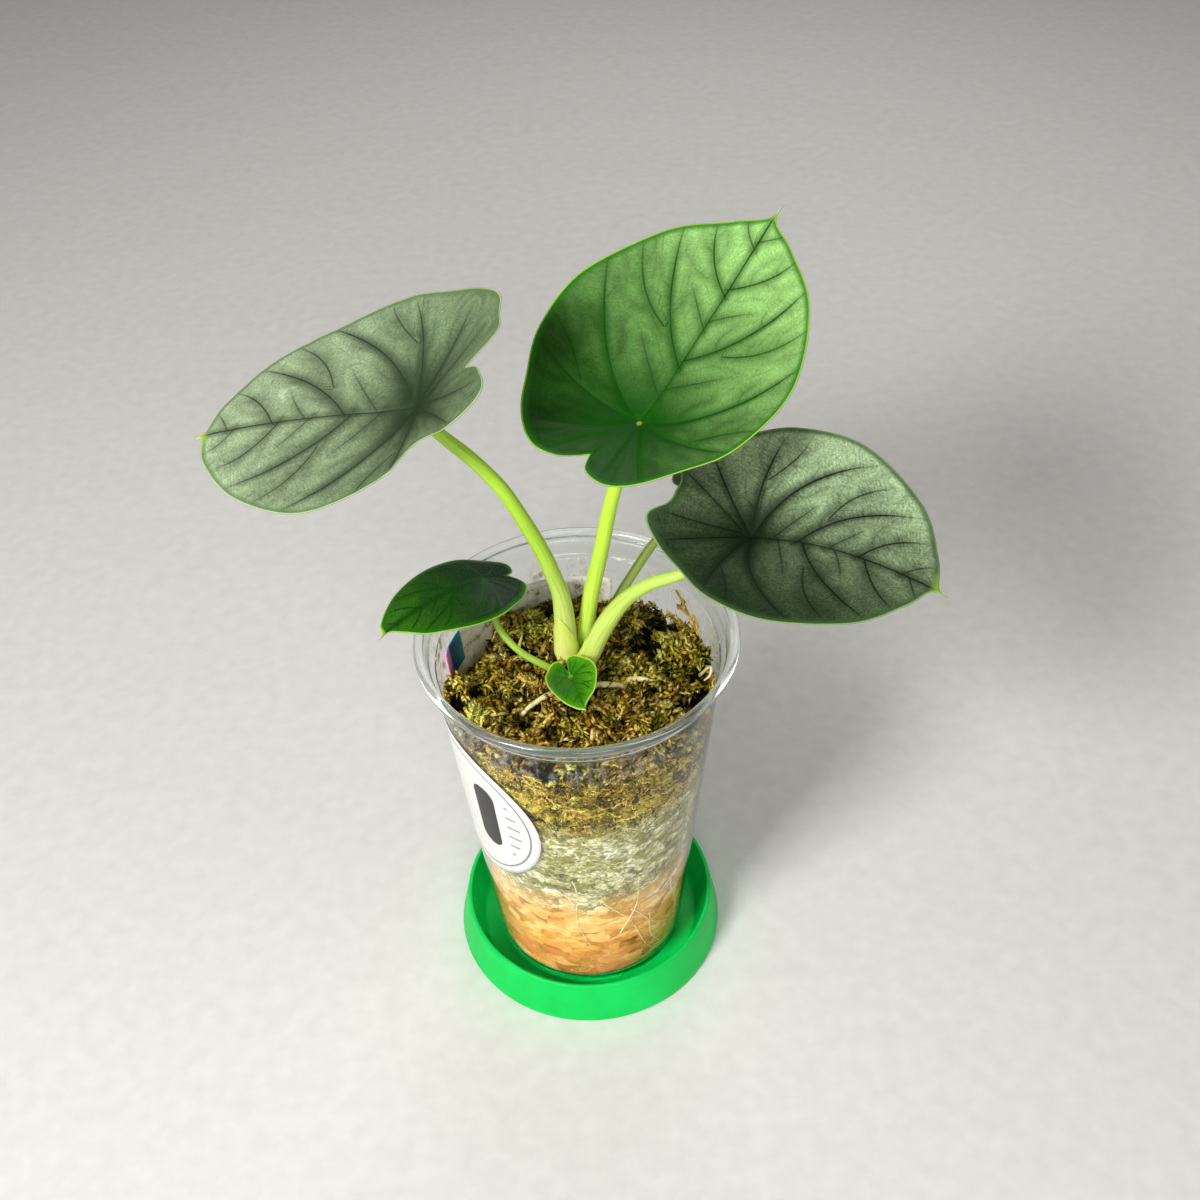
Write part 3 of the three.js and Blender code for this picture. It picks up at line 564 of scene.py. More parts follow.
def clump_strands(centre_x, centre_y, reach, green):
    """The strands of one clump. Each arches up out of the clump and dives down beside it."""
    # Painted light: strands near the mound behind are made lighter where the light falls on it
    painted_mound_light = 0.4 * nearness(centre_x, centre_y, MOUND, 160)
    for _ in range(int(reach * 2.1)):
        heading = moss_random.uniform(0, math.tau)
        x = centre_x + moss_random.gauss(0, 0.42) * reach
        y = centre_y + moss_random.gauss(0, 0.42) * reach
        bend = moss_random.choice((-1, 1)) * moss_random.uniform(0.05, 0.4)
        high = moss_random.uniform(-1.4, 1.0)
        length = moss_random.randint(6, 14)
        points = []
        for step in range(length):
            x += 0.9 * math.cos(heading)
            y += 0.9 * math.sin(heading)
            heading += bend + moss_random.uniform(-0.45, 0.45)
            x, y = keep_clear(x, y)
            dome = 3.2 * (1 - ((x - centre_x) ** 2 + (y - centre_y) ** 2) / reach ** 2)
            arch = 1.6 * math.sin(math.pi * step / (length - 1))
            points.append((x, y, moss_height(x, y) + high + max(dome, -3.5) + arch - 1.6))
        thickness = moss_random.uniform(0.28, 0.62)
        radii = [thickness * min(1, (length - step) / 3, (step + 1.5) / 3) for step in range(length)]
        shade = moss_random.random() ** 1.2 * 0.8 + painted_mound_light
        yield points, radii, shade, min(1, green * moss_random.uniform(0.6, 1.3))


CLUMPS, TUFT_STRANDS = 78, 14
CLUMPS_WITHIN = 38.5
TUFT_PLACE = (-31.8, -15, 117.6)
top_strands = []
for _ in range(CLUMPS):
    angle, radius = moss_random.uniform(0, math.tau), CLUMPS_WITHIN * math.sqrt(moss_random.random())
    x, y, _ = spot_at(radius, angle, 0)
    green = max(nearness(x, y, MOUND, 160), nearness(x, y, RIGHT_MOUND, 110), moss_random.random() ** 3 * 0.8)
    top_strands += clump_strands(x, y, moss_random.uniform(3.6, 7.6), green)
# A yellow tuft at the front left, and a dead sprig that leans on the wall at the right with two side shoots
for _ in range(TUFT_STRANDS):
    x, y = TUFT_PLACE[0] + moss_random.gauss(0, 1.0), TUFT_PLACE[1] + moss_random.gauss(0, 1.0)
    top_strands.append(([(x + k * 0.3 * moss_random.uniform(-1, 1), y + k * 0.2, TUFT_PLACE[2] + k * 1.2)
                         for k in range(5)], [0.5, 0.5, 0.45, 0.35, 0.2], 1.2, 0.7))
for sprig, thickness in (
    ([(39.6, 9.5, 117.5), (38.6, 13.5, 120), (36.6, 18, 123), (34.6, 22.5, 126.5), (32.1, 26.6, 130)], 0.6),
    ([(37.6, 16, 121.5), (37.9, 17.5, 123.5), (37.2, 19.5, 125.5)], 0.4),
    ([(35.6, 20.3, 124.7), (34.2, 20.2, 126.6), (33.4, 21, 128.2)], 0.4),
):
    top_strands.append((sprig, [thickness * (1 - 0.5 * k / len(sprig)) for k in range(len(sprig))], 0.6, 0.0))
strand_piece("moss_top_strands", top_strands, strand_moss, "moss")


def wall_strand(low, high, steps, thickness, curliness):
    """A strand pressed flat behind the wall of the cup."""
    height = moss_random.uniform(low, high)
    heading = moss_random.uniform(0, math.tau)
    slope = moss_random.gauss(0, 0.9)
    points = []
    for _ in range(moss_random.randint(*steps)):
        slope += moss_random.uniform(-1, 1) * curliness
        heading += math.cos(slope) / 40
        height += math.sin(slope)
        height = min(max(height, 7), moss_height(*spot_at(MOSS_REACH, heading, 0)[:2]) + 1)
        radius = inner_wall(height) - STRAND_GAP - thickness - 0.25 * moss_random.random()
        points.append(spot_at(radius, heading, height))
    width = moss_random.uniform(0.6, 1) * thickness
    radii = [width * min(1, (len(points) - step) / 4, (step + 1.5) / 3) for step in range(len(points))]
    return points, radii, moss_random.random() ** 1.4 * 0.75, moss_random.random() ** 2 * 0.6


# Curly strands crowd the upper wall, thickest at the top, and long hair-fine ones run all the way down it
CURLY, THICK, FINE = 1000, 420, 260
curly_strands = [wall_strand(91, 119, (4, 11), 0.36, 0.9) for _ in range(CURLY)]
curly_strands += [wall_strand(104, 119, (5, 11), 0.45, 0.9) for _ in range(THICK)]
fine_strands = [wall_strand(8, 96, (14, 34), 0.2, 0.16) for _ in range(FINE)]
strand_piece("moss_wall_strands", curly_strands + fine_strands, strand_moss, "moss")


def leaflet_piece(name, strands, shortest, longest):
    """Small cupped leaves that stand off each step of some strands in pairs, inside the wall of the cup."""
    leaflets = bmesh.new()
    leaflet_shade = leaflets.verts.layers.float_vector.new("strand")
    for points, radii, shade, green in strands:
        for (x, y, z), after, radius in zip(points, points[1:], radii):
            along = (Vector(after) - Vector((x, y, z))).normalized()
            for _ in range(2):
                out = Vector([moss_random.gauss(0, 1) for _ in range(3)]).cross(along).normalized()
                side = along.cross(out)
                foot = Vector((x, y, z)) + out * radius * 0.6
                reach = moss_random.uniform(shortest, longest)
                tip = foot + (along * 0.7 + out * moss_random.uniform(0.2, 1.0)) * reach
                middle = foot.lerp(tip, 0.45) + out * 0.3
                lighter = min(1.0, max(0.0, shade + moss_random.gauss(0.05, 0.16)))
                corners = []
                for spot in (foot, middle + side * 0.27 * reach, tip, middle - side * 0.27 * reach):
                    spot.xy *= min(1, (inner_wall(spot.z) - LEAFLET_GAP) / spot.xy.length)
                    corners.append(leaflets.verts.new(spot * MM))
                    corners[-1][leaflet_shade] = (lighter, green, 0)
                for missing in range(4):
                    leaflets.faces.new(corners[:missing] + corners[missing + 1:])
    finish_piece(leaflets, name, [strand_moss], "moss")


leaflet_piece("moss_leaflets", top_strands, 1.8, 4.6)
leaflet_piece("moss_wall_leaflets", curly_strands, 0.8, 1.8)

# Crown: the corm sits in the moss, and pale roots leave it, run a little way over the moss and dive back in.
# A short one bends over at the right wall.
ROOT_PATHS = [
    ([(-2, 4, 107), (-4.5, -1, 116.5), (-7.3, -6.3, 120.6), (-12, -9.5, 121), (-16.7, -12.1, 119),
      (-20, -14, 114)], 0.95),
    ([(2, 1.5, 107), (3.2, -2, 116), (4.4, -3.9, 119.8), (8.5, -4.8, 121), (12.7, -4.5, 119.8),
      (16, -3.8, 115)], 1.1),
    ([(6, 5, 107), (9.5, 1.5, 115), (14.6, -2.5, 120.3), (18, -3, 121), (21.7, -3, 119.8), (25, -2.5, 115)], 1.0),
    ([(37.5, 2, 116), (40, 0.8, 120.5), (40.6, -1.3, 122.2), (40, -3, 120.8), (38.4, -3, 118.8)], 0.5),
]
# Each root at the wall: the heights of its foot and its top, and its headings at its top and its foot, in degrees
WALL_ROOT_ENDS = [(12, 52, -82, -50), (20, 44, -70, -38), (8, 36, -58, -44), (30, 62, -62, -72),
                  (16, 50, -40, -30), (26, 66, -100, -92)]
WALL_ROOT_STEPS, WALL_ROOT_GAP, WALL_ROOT_RADIUS = 30, 0.38, 0.22
CORM_RADIUS, CORM_CENTRE = 10, (0.4, 8.6, 104)


def through(points, count):
    """count points spaced evenly along a smooth line through the given ones."""
    knots = [Vector(point) for point in points]
    knots = [knots[0] * 2 - knots[1]] + knots + [knots[-1] * 2 - knots[-2]]
    fine = []
    for before, start, end, after in zip(knots, knots[1:], knots[2:], knots[3:]):
        for step in range(24):
            t = step / 24
            fine.append(0.5 * (2 * start + (end - before) * t
                               + (2 * before - 5 * start + 4 * end - after) * t * t
                               + (3 * start - before - 3 * end + after) * t ** 3))
    fine.append(knots[-2])
    lengths = np.cumsum([0] + [(b - a).length for a, b in zip(fine, fine[1:])])
    wanted = np.linspace(0, lengths[-1], count)
    return [Vector(spot) for spot in zip(*(np.interp(wanted, lengths, [p[axis] for p in fine])
                                           for axis in range(3)))]


def spread_over(values, count):
    """A few values spread over count places."""
    return np.interp(np.linspace(0, 1, count), np.linspace(0, 1, len(values)), values)


def tube(points, radii, sides):
    """A bmesh tube through the points, with each ring pushed out of the last. Its ends are closed, and its
    vertices know how far along and around it they are, in millimetres."""
    bm = bmesh.new()
    lie = bm.verts.layers.float_vector.new("lie")
    ring = bmesh.ops.create_circle(bm, segments=sides, radius=1)["verts"]
    turns = [math.atan2(vert.co.y, vert.co.x) for vert in ring]
    loop_edges = list(bm.edges)
    ahead = points[1:] + [points[-1] * 2 - points[-2]]
    behind = [points[0] * 2 - points[1]] + points[:-1]
    along = 0.0
    for step, (point, radius, before, after) in enumerate(
            zip(points, spread_over(radii, len(points)), behind, ahead)):
        aim = (after - before).normalized()
        if step:
            along += (point - points[step - 1]).length
            grown = bmesh.ops.extrude_edge_only(bm, edges=loop_edges)["geom"]
            ring = [g for g in grown if isinstance(g, bmesh.types.BMVert)]
            loop_edges = [g for g in grown if isinstance(g, bmesh.types.BMEdge) and g.is_boundary
                          and all(v in ring for v in g.verts)]
            turns = [vert[lie].x / 10 for vert in ring]
            first = (first - aim * first.dot(aim)).normalized()
        else:
            first = aim.orthogonal().normalized()
        second = aim.cross(first)
        for vert, turn in zip(ring, turns):
            vert.co = (point + (first * math.cos(turn) + second * math.sin(turn)) * radius) * MM
            vert[lie] = (turn * 10, along, radius)
    bmesh.ops.holes_fill(bm, edges=[e for e in bm.edges if e.is_boundary], sides=0)
    return bm


# Root skin: pale cream cells under a thin brown bark that is worn away in patches
root_skin = new_material("root_skin", Roughness=0.6, IOR=1.4, Subsurface_Weight=0.15,
                         Subsurface_Radius=(1.5 * MM, 0.9 * MM, 0.4 * MM))
root_place = add_node(root_skin, "TexCoord").outputs["Object"]
root_patch = add_node(root_skin, "TexNoise", {"Vector": root_place, "Scale": 1 / (3 * MM), "Detail": 6.0})
feed(root_skin, Base_Color=add_node(root_skin, "ValToRGB", [root_patch],
                                    [(0.3, "#a88a48"), (0.42, "#dcc988"), (0.7, "#f4ebc0")]),
     Normal=add_node(root_skin, "Bump", {"Height": root_patch, "Strength": 0.5, "Distance": 0.2 * MM}))

for number, (path, radius) in enumerate(ROOT_PATHS, 1):
    finish_piece(tube(through(path, 48), [radius, radius, radius * 0.85, radius * 0.5], 12),
                 f"surface_root_{number}", [root_skin], "root", *(["crown"] if number == 1 else []))
# Hair-thin roots run down inside the wall at the front right
wall_roots = []
for low, high, top_heading, foot_heading in WALL_ROOT_ENDS:
    path = []
    for step in range(WALL_ROOT_STEPS):
        share = step / (WALL_ROOT_STEPS - 1)
        height = high + (low - high) * share
        sway = 2.2 * math.sin(6 * share + low)
        heading = math.radians(top_heading + (foot_heading - top_heading) * share + sway)
        path.append(spot_at(inner_wall(height) - WALL_ROOT_GAP, heading, height))
    wall_roots.append((path, [WALL_ROOT_RADIUS] * WALL_ROOT_STEPS, 0.5, 0.0))
strand_piece("wall_roots", wall_roots, root_skin, "root", sides=1)

corm = bmesh.new()
bmesh.ops.create_uvsphere(corm, u_segments=40, v_segments=24, radius=CORM_RADIUS * MM)
for vert in corm.verts:
    vert.co.z *= 0.8
    vert.co += Vector(CORM_CENTRE) * MM
    vert.co += vert.normal * 0.5 * MM * noise.noise(vert.co * 300)
finish_piece(corm, "corm", [root_skin], "root")

# Stalks: six smooth, fleshy leaf stalks, yellow-green and paler at the foot. They grow from the crown and bend
# out to the blades, which they meet from underneath. Each is its path and its radii along it.
STALKS = {
    "left": ([(-3.6, 9.8, 108.5), (-3.4, 9.6, 126.8), (-4, 9.5, 143.8), (-6.2, 9.9, 153.7), (-9.5, 10.8, 163.7),
              (-14.7, 12.2, 175.3), (-19.8, 13.6, 184.8), (-27.6, 15.8, 193.9), (-36.2, 18.2, 201.7),
              (-41.4, 19.8, 208.3)], [3.7, 3.6, 3.2, 2.5, 2.3, 2.2, 2.1, 2.0, 1.9]),
    "top": ([(2.4, 13.8, 108.5), (2.7, 12.8, 124), (4.5, 13.3, 139.7), (8.1, 15, 156.2), (13.2, 17.8, 179.5),
             (20.7, 21.8, 197.9)], [2.6, 2.6, 2.5, 2.3, 2.1, 2.0]),
    "right": ([(1.8, 4.6, 108.5), (2.2, 4.6, 121), (4.4, 4.6, 126.8), (8.6, 4.4, 137.3), (14.8, 3.8, 147.7),
               (22.2, 2.8, 154.5), (31.4, 1.2, 159.2), (42, 0.2, 165.6), (51, -0.3, 172.5)],
              [3.2, 3.2, 3.1, 2.9, 2.3, 1.9, 1.6, 1.6, 1.6]),
    "back": ([(7.2, 14, 108.5), (7.6, 15.5, 121), (12.4, 19.9, 131.9), (19.1, 24.6, 141), (25.6, 29.2, 148.1),
              (34, 33, 154), (43.8, 36, 158.6)], [1.6, 1.6, 1.5, 1.5, 1.4, 1.3]),
    "small": ([(-6.5, 4.5, 108.5), (-7, 3.8, 119), (-9.4, 3.5, 121.5), (-16.3, 5.5, 125.3), (-21.3, 9, 128.7),
               (-24.9, 13, 133.6), (-27.7, 18, 146.1)], [1.2, 1.2, 1.1, 1.1, 1.1, 1.0]),
    "tiny": ([(-1.2, 0.2, 108.5), (-1.6, -1.6, 119.5), (-2.1, -4, 123.6), (-2.5, -6.6, 126.2)], [0.8, 0.8, 0.8]),
}
# Each stalk's colour at its foot and at its top
STALK_TONES = {
    "left": ("#f2f49a", "#b0dc3e"), "top": ("#dcf468", "#c8f048"), "right": ("#dcec78", "#c6e860"),
    "back": ("#b9c862", "#93ab48"), "small": ("#a9cc4c", "#86b030"), "tiny": ("#cfdf8a", "#9cc04a")}


def stalk_skin(name, foot_tone, top_tone):
    """A waxy green skin over wet cells: satin, with fine lines running up it."""
    skin = new_material(name, Roughness=0.38, IOR=1.42, Subsurface_Weight=0.2,
                        Subsurface_Radius=(1.2 * MM, 1.6 * MM, 0.4 * MM))
    height = add_node(skin, "SeparateXYZ", [add_node(skin, "TexCoord").outputs["Object"]]).outputs["Z"]
    lie = add_node(skin, "Attribute", attribute_name="lie").outputs["Vector"]
    stretched = add_node(skin, "VectorMath", [lie, (0.9, 0.06, 0.0)], operation="MULTIPLY")
    lines = add_node(skin, "TexNoise", {"Vector": stretched, "Scale": 1.0, "Detail": 5.0})
    rise = add_node(skin, "MapRange", [height, 118 * MM, 165 * MM])
    tone = add_node(skin, "ValToRGB", [rise], [(0.0, foot_tone), (1.0, top_tone)])
    streak = add_node(skin, "MapRange", [lines, 0.3, 0.7, 0.74, 1.14])
    feed(skin, Base_Color=add_node(skin, "MixRGB", [1.0, tone, streak], blend_type="MULTIPLY"),
         Normal=add_node(skin, "Bump", {"Height": lines, "Strength": 0.3, "Distance": 0.15 * MM}))
    return skin


for stalk_name, (path, radii) in STALKS.items():
    line = through(path, 72)
    line[-1] = line[-1].lerp(line[-2], 0.5)
    finish_piece(tube(line, radii[:-1] + [radii[-1] * 0.8], 24), f"leaf_stalk_{stalk_name}",
                 [stalk_skin(f"stalk_skin_{stalk_name}", *STALK_TONES[stalk_name])],
                 "stalk_dull" if stalk_name == "back" else "stalk", f"stalk_{stalk_name}")

# Sheaths: the feet of the two thickest stalks are wrapped in pale sheaths that hug them and run out to a point.
# The right edge of the outer one has dried to thin brown paper.
sheath_skin = new_material("leaf_sheath", Roughness=0.42, IOR=1.42, Subsurface_Weight=0.2,
                           Subsurface_Radius=(1.5 * MM, 1.5 * MM, 0.6 * MM))
sheath_uv = add_node(sheath_skin, "UVMap", uv_map="wrap")
sheath_xy = add_node(sheath_skin, "SeparateXYZ", [sheath_uv]).outputs
sheath_long = add_node(sheath_skin, "VectorMath", [sheath_uv, (26.0, 2.0, 0.0)], operation="MULTIPLY")
sheath_fibre = add_node(sheath_skin, "TexNoise", {"Vector": sheath_long, "Scale": 1.0, "Detail": 5.0})
sheath_tone = add_node(sheath_skin, "ValToRGB", [sheath_fibre], [(0.3, "#e8ec7c"), (0.7, "#f9faa4")])
sheath_rise = add_node(sheath_skin, "MapRange", [sheath_xy["Y"], 0.35, 1.0, 0, 0.85])
sheath_blend = add_node(sheath_skin, "MixRGB", [sheath_rise, sheath_tone, "#cfe656"])
sheath_edge = add_node(sheath_skin, "Math", [sheath_xy["X"], sheath_xy["Y"]], operation="MULTIPLY")
sheath_dry = add_node(sheath_skin, "MapRange", [sheath_edge, 0.84, 0.94])
feed(sheath_skin, Base_Color=add_node(sheath_skin, "MixRGB", [sheath_dry, sheath_blend, "#9c6b35"]),
     Normal=add_node(sheath_skin, "Bump", {"Height": sheath_fibre, "Strength": 0.4, "Distance": 0.2 * MM}))

SHEATH_STEPS = 240
for sheath_name, stalk_name, gap, low, high, face_heading, wrap in (
    ("outer_sheath", "left", 0.28, 112, 139, -115, 235),
    ("inner_sheath", "right", 0.25, 112, 131, 160, 210),
):
    path, radii = STALKS[stalk_name]
    line = through(path, SHEATH_STEPS)
    girths = spread_over(radii, SHEATH_STEPS)
    sheath = flat_sheet("wrap", 28, 30)
    for vert in sheath.verts:
        across, up, _ = vert.co
        edge = abs(across - 0.5) * 2
        height = low + (high - low) * up * (1 - 0.62 * edge ** 1.4)
        nearest = min(range(SHEATH_STEPS), key=lambda k: abs(line[k].z - height))
        flare = girths[nearest] + gap + 0.55 * up ** 3 * edge ** 8
        heading = math.radians(face_heading + wrap * (across - 0.5))
        vert.co = (line[nearest] + Vector(spot_at(flare, heading, 0))) * MM
        vert.co.z = height * MM
    thicken(finish_piece(sheath, sheath_name, [sheath_skin], "stalk"), "sheath_thickness", 0.2)

# Blades: heart-shaped leaves, each a shallow funnel about the end of its stalk. The veins are sunk in the top
# and stand out underneath, and the tissue between them is gently quilted.
FULL_LENGTH = 70  # the blade, in millimetres, for which reliefs are given
# Half of the margin from the tip round to the notch, in blade lengths from the hub
HALF_OUTLINE = [
    (1, 0), (0.94, 0.02), (0.876, 0.155), (0.69, 0.366), (0.36, 0.516), (0.07, 0.505),
    (-0.135, 0.41), (-0.28, 0.315), (-0.37, 0.2), (-0.342, 0.07), (-0.28, 0)]
# Each vein of one half: where it leaves, where it bends, where it ends, and how strong it is
VEINS = [
    ((0, 0), (0.1, 0.32), (0.47, 0.49), 1.0), ((0.27, 0), (0.42, 0.22), (0.74, 0.31), 0.9),
    ((0.59, 0), (0.68, 0.16), (0.83, 0.2), 0.6), ((0.8, 0), (0.84, 0.07), (0.9, 0.1), 0.35),
    ((0, 0), (-0.05, 0.27), (0.03, 0.48), 0.9), ((0, 0), (-0.14, 0.12), (-0.27, 0.29), 0.8),
    ((-0.05, 0.01), (-0.22, 0.09), (-0.36, 0.14), 0.5), ((0.38, 0.16), (0.43, 0.33), (0.6, 0.41), 0.5),
    ((0.01, 0.29), (0.12, 0.41), (0.15, 0.5), 0.45), ((0.13, 0), (0.2, 0.1), (0.29, 0.2), 0.3),
    ((0.44, 0), (0.5, 0.07), (0.56, 0.14), 0.3)]
SIDE_VEIN_STRENGTH = 0.34
# turn is the heading, rise and roll in degrees. bowl is the funnel's slope, its extra slope behind the hub, the
# curl of the sides, the droop of the tip and the lean to one side. left and right swell the two halves, bulges
# push the margin out at a spot, and crease is how much of the full relief a small leaf has.
LEAVES = {
    "left": dict(hub=(-41.4, 19.8, 208.7), turn=(167.5, -15.3, -13.8), length=70.6, notch=0.28,
                 bowl=(0.16, 0.46, -0.19, -0.13, 0.01), left=(1.03, 1, 0.73, 1.16), right=(1.01, 0.97, 1.14, 1.18),
                 bulges=[(-0.37, -0.07, 0.09, -0.085, 0.02)]),
    "top": dict(hub=(20.7, 21.8, 198.3), turn=(42.8, 24.2, 0.4), length=72.7, notch=0.25,
                bowl=(0.19, 0.31, 0.1, 0.04, 0.19), left=(0.98, 1.04, 1.02, 0.95), right=(0.97, 1, 0.93, 0.93)),
    "right": dict(hub=(51, -0.3, 172.9), turn=(-36.2, 14.5, 17.8), length=56.2, notch=0.34,
                  bowl=(0.27, 0.61, -0.12, -0.5, -0.03), left=(1.04, 1.15, 1.12, 1), right=(0.99, 1.03, 1, 1.03)),
    "back": dict(hub=(43.8, 36, 159), turn=(35, -15, 0), length=32, notch=0.28,
                 bowl=(0.05, 0.3, 0.05, -0.2, 0), left=(1, 1, 1, 1), right=(1, 1, 1, 1)),
    "small": dict(hub=(-27.7, 18, 146.5), turn=(206.2, 13.2, 6.3), length=33.4, notch=0.26, crease=0.25,
                  bowl=(-0.12, 0.04, -0.13, -0.33, -0.02), left=(0.94, 0.97, 1.01, 0.96),
                  right=(1.04, 0.99, 1.04, 0.99)),
    "tiny": dict(hub=(-2.5, -6.6, 126.5), turn=(-76.2, 14.3, 9.8), length=14.8, notch=0.04, crease=0.3,
                 bowl=(0.23, 0.39, 0.28, -0.5, 0.03), left=(0.9, 1.01, 1.03, 1.02), right=(1, 0.99, 1.02, 1)),
}


def half_margin(swell, notch, side, count):
    """count points along one half of a blade's margin, from the tip to the notch."""
    knots = np.array(HALF_OUTLINE) * spread_over((1, *swell, 1), len(HALF_OUTLINE))[:, None]
    knots[-1] = (-notch, 0)
    knots[:, 1] *= side
    last = len(knots) - 1
    place = np.linspace(0, last, count)
    low = np.minimum(place.astype(int), last - 1)
    t = (place - low)[:, None]
    before, start, end, after = (knots[np.clip(low + k, 0, last)] for k in (-1, 0, 1, 2))
    lead, trail = (end - before) / 2, (after - start) / 2
    return (2 * start - 2 * end + lead + trail) * t ** 3 + (3 * end - 3 * start - 2 * lead - trail) * t ** 2 \
        + lead * t + start


def vein_lines():
    """The main veins as polylines with their strengths. The right half's leave a little past the left's."""
    lines = []
    t = np.linspace(0, 1, 17)[:, None]
    for side, late in ((1, 0.0), (-1, 0.03)):
        for start, bend, end, strength in VEINS:
            start, bend, end = (np.array(p, float) for p in (start, bend, end))
            if start[0] > 0.05 and start[1] == 0:
                start, bend = start + (late, 0), bend + (late, 0)
            lines.append(((start * (1 - t) ** 2 + 2 * bend * t * (1 - t) + end * t ** 2) * (1, side), strength))
    return lines


def side_vein_lines():
    """Short veins that leave each main one on both sides in turn, and bend towards its end."""
    lines = []
    t = np.linspace(0, 1, 6)[:, None]
    for main, strength in MAIN_VEINS:
        for number, step in enumerate((4, 7, 10, 13) if strength > 0.4 else ()):
            ahead = main[step + 1] - main[step]
            ahead = ahead / np.hypot(*ahead)
            across = np.array((-ahead[1], ahead[0])) * (-1) ** number
            reach = 0.21 - 0.008 * step + 0.03 * math.sin(7 * step + 20 * main[-1][0])
            bent = across * (0.8 * t - 0.35 * t * t) + ahead * (0.1 * t + 0.75 * t * t)
            lines.append((main[step] + bent * reach, SIDE_VEIN_STRENGTH * strength))
    return lines


MAIN_VEINS = vein_lines()
SIDE_VEINS = side_vein_lines()


def vein_fields(x, y, lines):
    """For every point of a blade: signed distance to the nearest of the veins, that vein's strength there, and
    how far along it, all in blade lengths."""
    best = np.full(x.shape, np.inf)
    signed, strength_there, along_there = np.zeros(x.shape), np.zeros(x.shape), np.zeros(x.shape)
    for line, strength in lines:
        lengths = np.concatenate([[0], np.cumsum(np.hypot(*np.diff(line, axis=0).T))])
        for (ax, ay), (bx, by), start_at in zip(line, line[1:], lengths):
            dx, dy = bx - ax, by - ay
            share = np.clip(((x - ax) * dx + (y - ay) * dy) / (dx * dx + dy * dy), 0, 1)
            off_x, off_y = x - ax - share * dx, y - ay - share * dy
            gap = np.hypot(off_x, off_y)
            along = start_at + share * math.hypot(dx, dy)
            fade = np.clip((1 - along / lengths[-1]) / 0.3, 0, 1)
            nearer = gap < best
            best = np.where(nearer, gap, best)
            signed = np.where(nearer, np.copysign(gap, dx * off_y - dy * off_x), signed)
            strength_there = np.where(nearer, strength * fade, strength_there)
            along_there = np.where(nearer, along, along_there)
    return signed, strength_there, along_there


def blade_points(leaf, x, y, lift):
    """Points of a blade's surface, in millimetres. lift is added across the surface."""
    heading, rise, roll = (math.radians(angle) for angle in leaf["turn"])
    along = np.array((math.cos(heading) * math.cos(rise), math.sin(heading) * math.cos(rise), math.sin(rise)))
    level = np.array((-math.sin(heading), math.cos(heading), 0))
    across = level * math.cos(roll) + np.cross(along, level) * math.sin(roll)
    slope, back, side, droop, lean = leaf["bowl"]
    reach = np.hypot(x, y)
    backness = ((1 - x / np.maximum(reach, 1e-6)) / 2) ** 1.5 * (reach > 1e-6)
    height = (slope + back * backness) * reach + side * y * y + lean * y * np.abs(y)
    height = height + np.where(x > 0, droop * x * x, 0)
    length = leaf["length"]
    return (np.array(leaf["hub"], float) + np.outer(x, along) * length + np.outer(y, across) * length
            + np.outer(height * length + lift, np.cross(along, across)))


def sunk(leaf, x, y, main, side):
    """How far the veins and the midrib pull the surface down, in millimetres."""
    reach = np.hypot(x, y)
    main_gap, side_gap = np.abs(main[0]) * FULL_LENGTH, np.abs(side[0]) * FULL_LENGTH
    valley = (0.45 * np.exp(-(main_gap / 3.2) ** 2) + 0.5 * np.exp(-(main_gap / 0.95) ** 2)) * main[1]
    crease = 0.75 * np.exp(-(side_gap / 1.3) ** 2) * side[1]
    middle = np.where(x > 0, np.abs(y), reach) * FULL_LENGTH
    rib = 0.6 * np.exp(-(middle / 2.2) ** 2) + 0.4 * np.exp(-(middle / 0.6) ** 2)
    rib = rib * np.clip(1.05 - x, 0, 1) * (x > 0)
    scale = leaf.get("crease", 1) * leaf["length"] / FULL_LENGTH
    return -np.maximum(np.maximum(valley, crease), rib) * scale * np.clip(reach * 6, 0, 1)


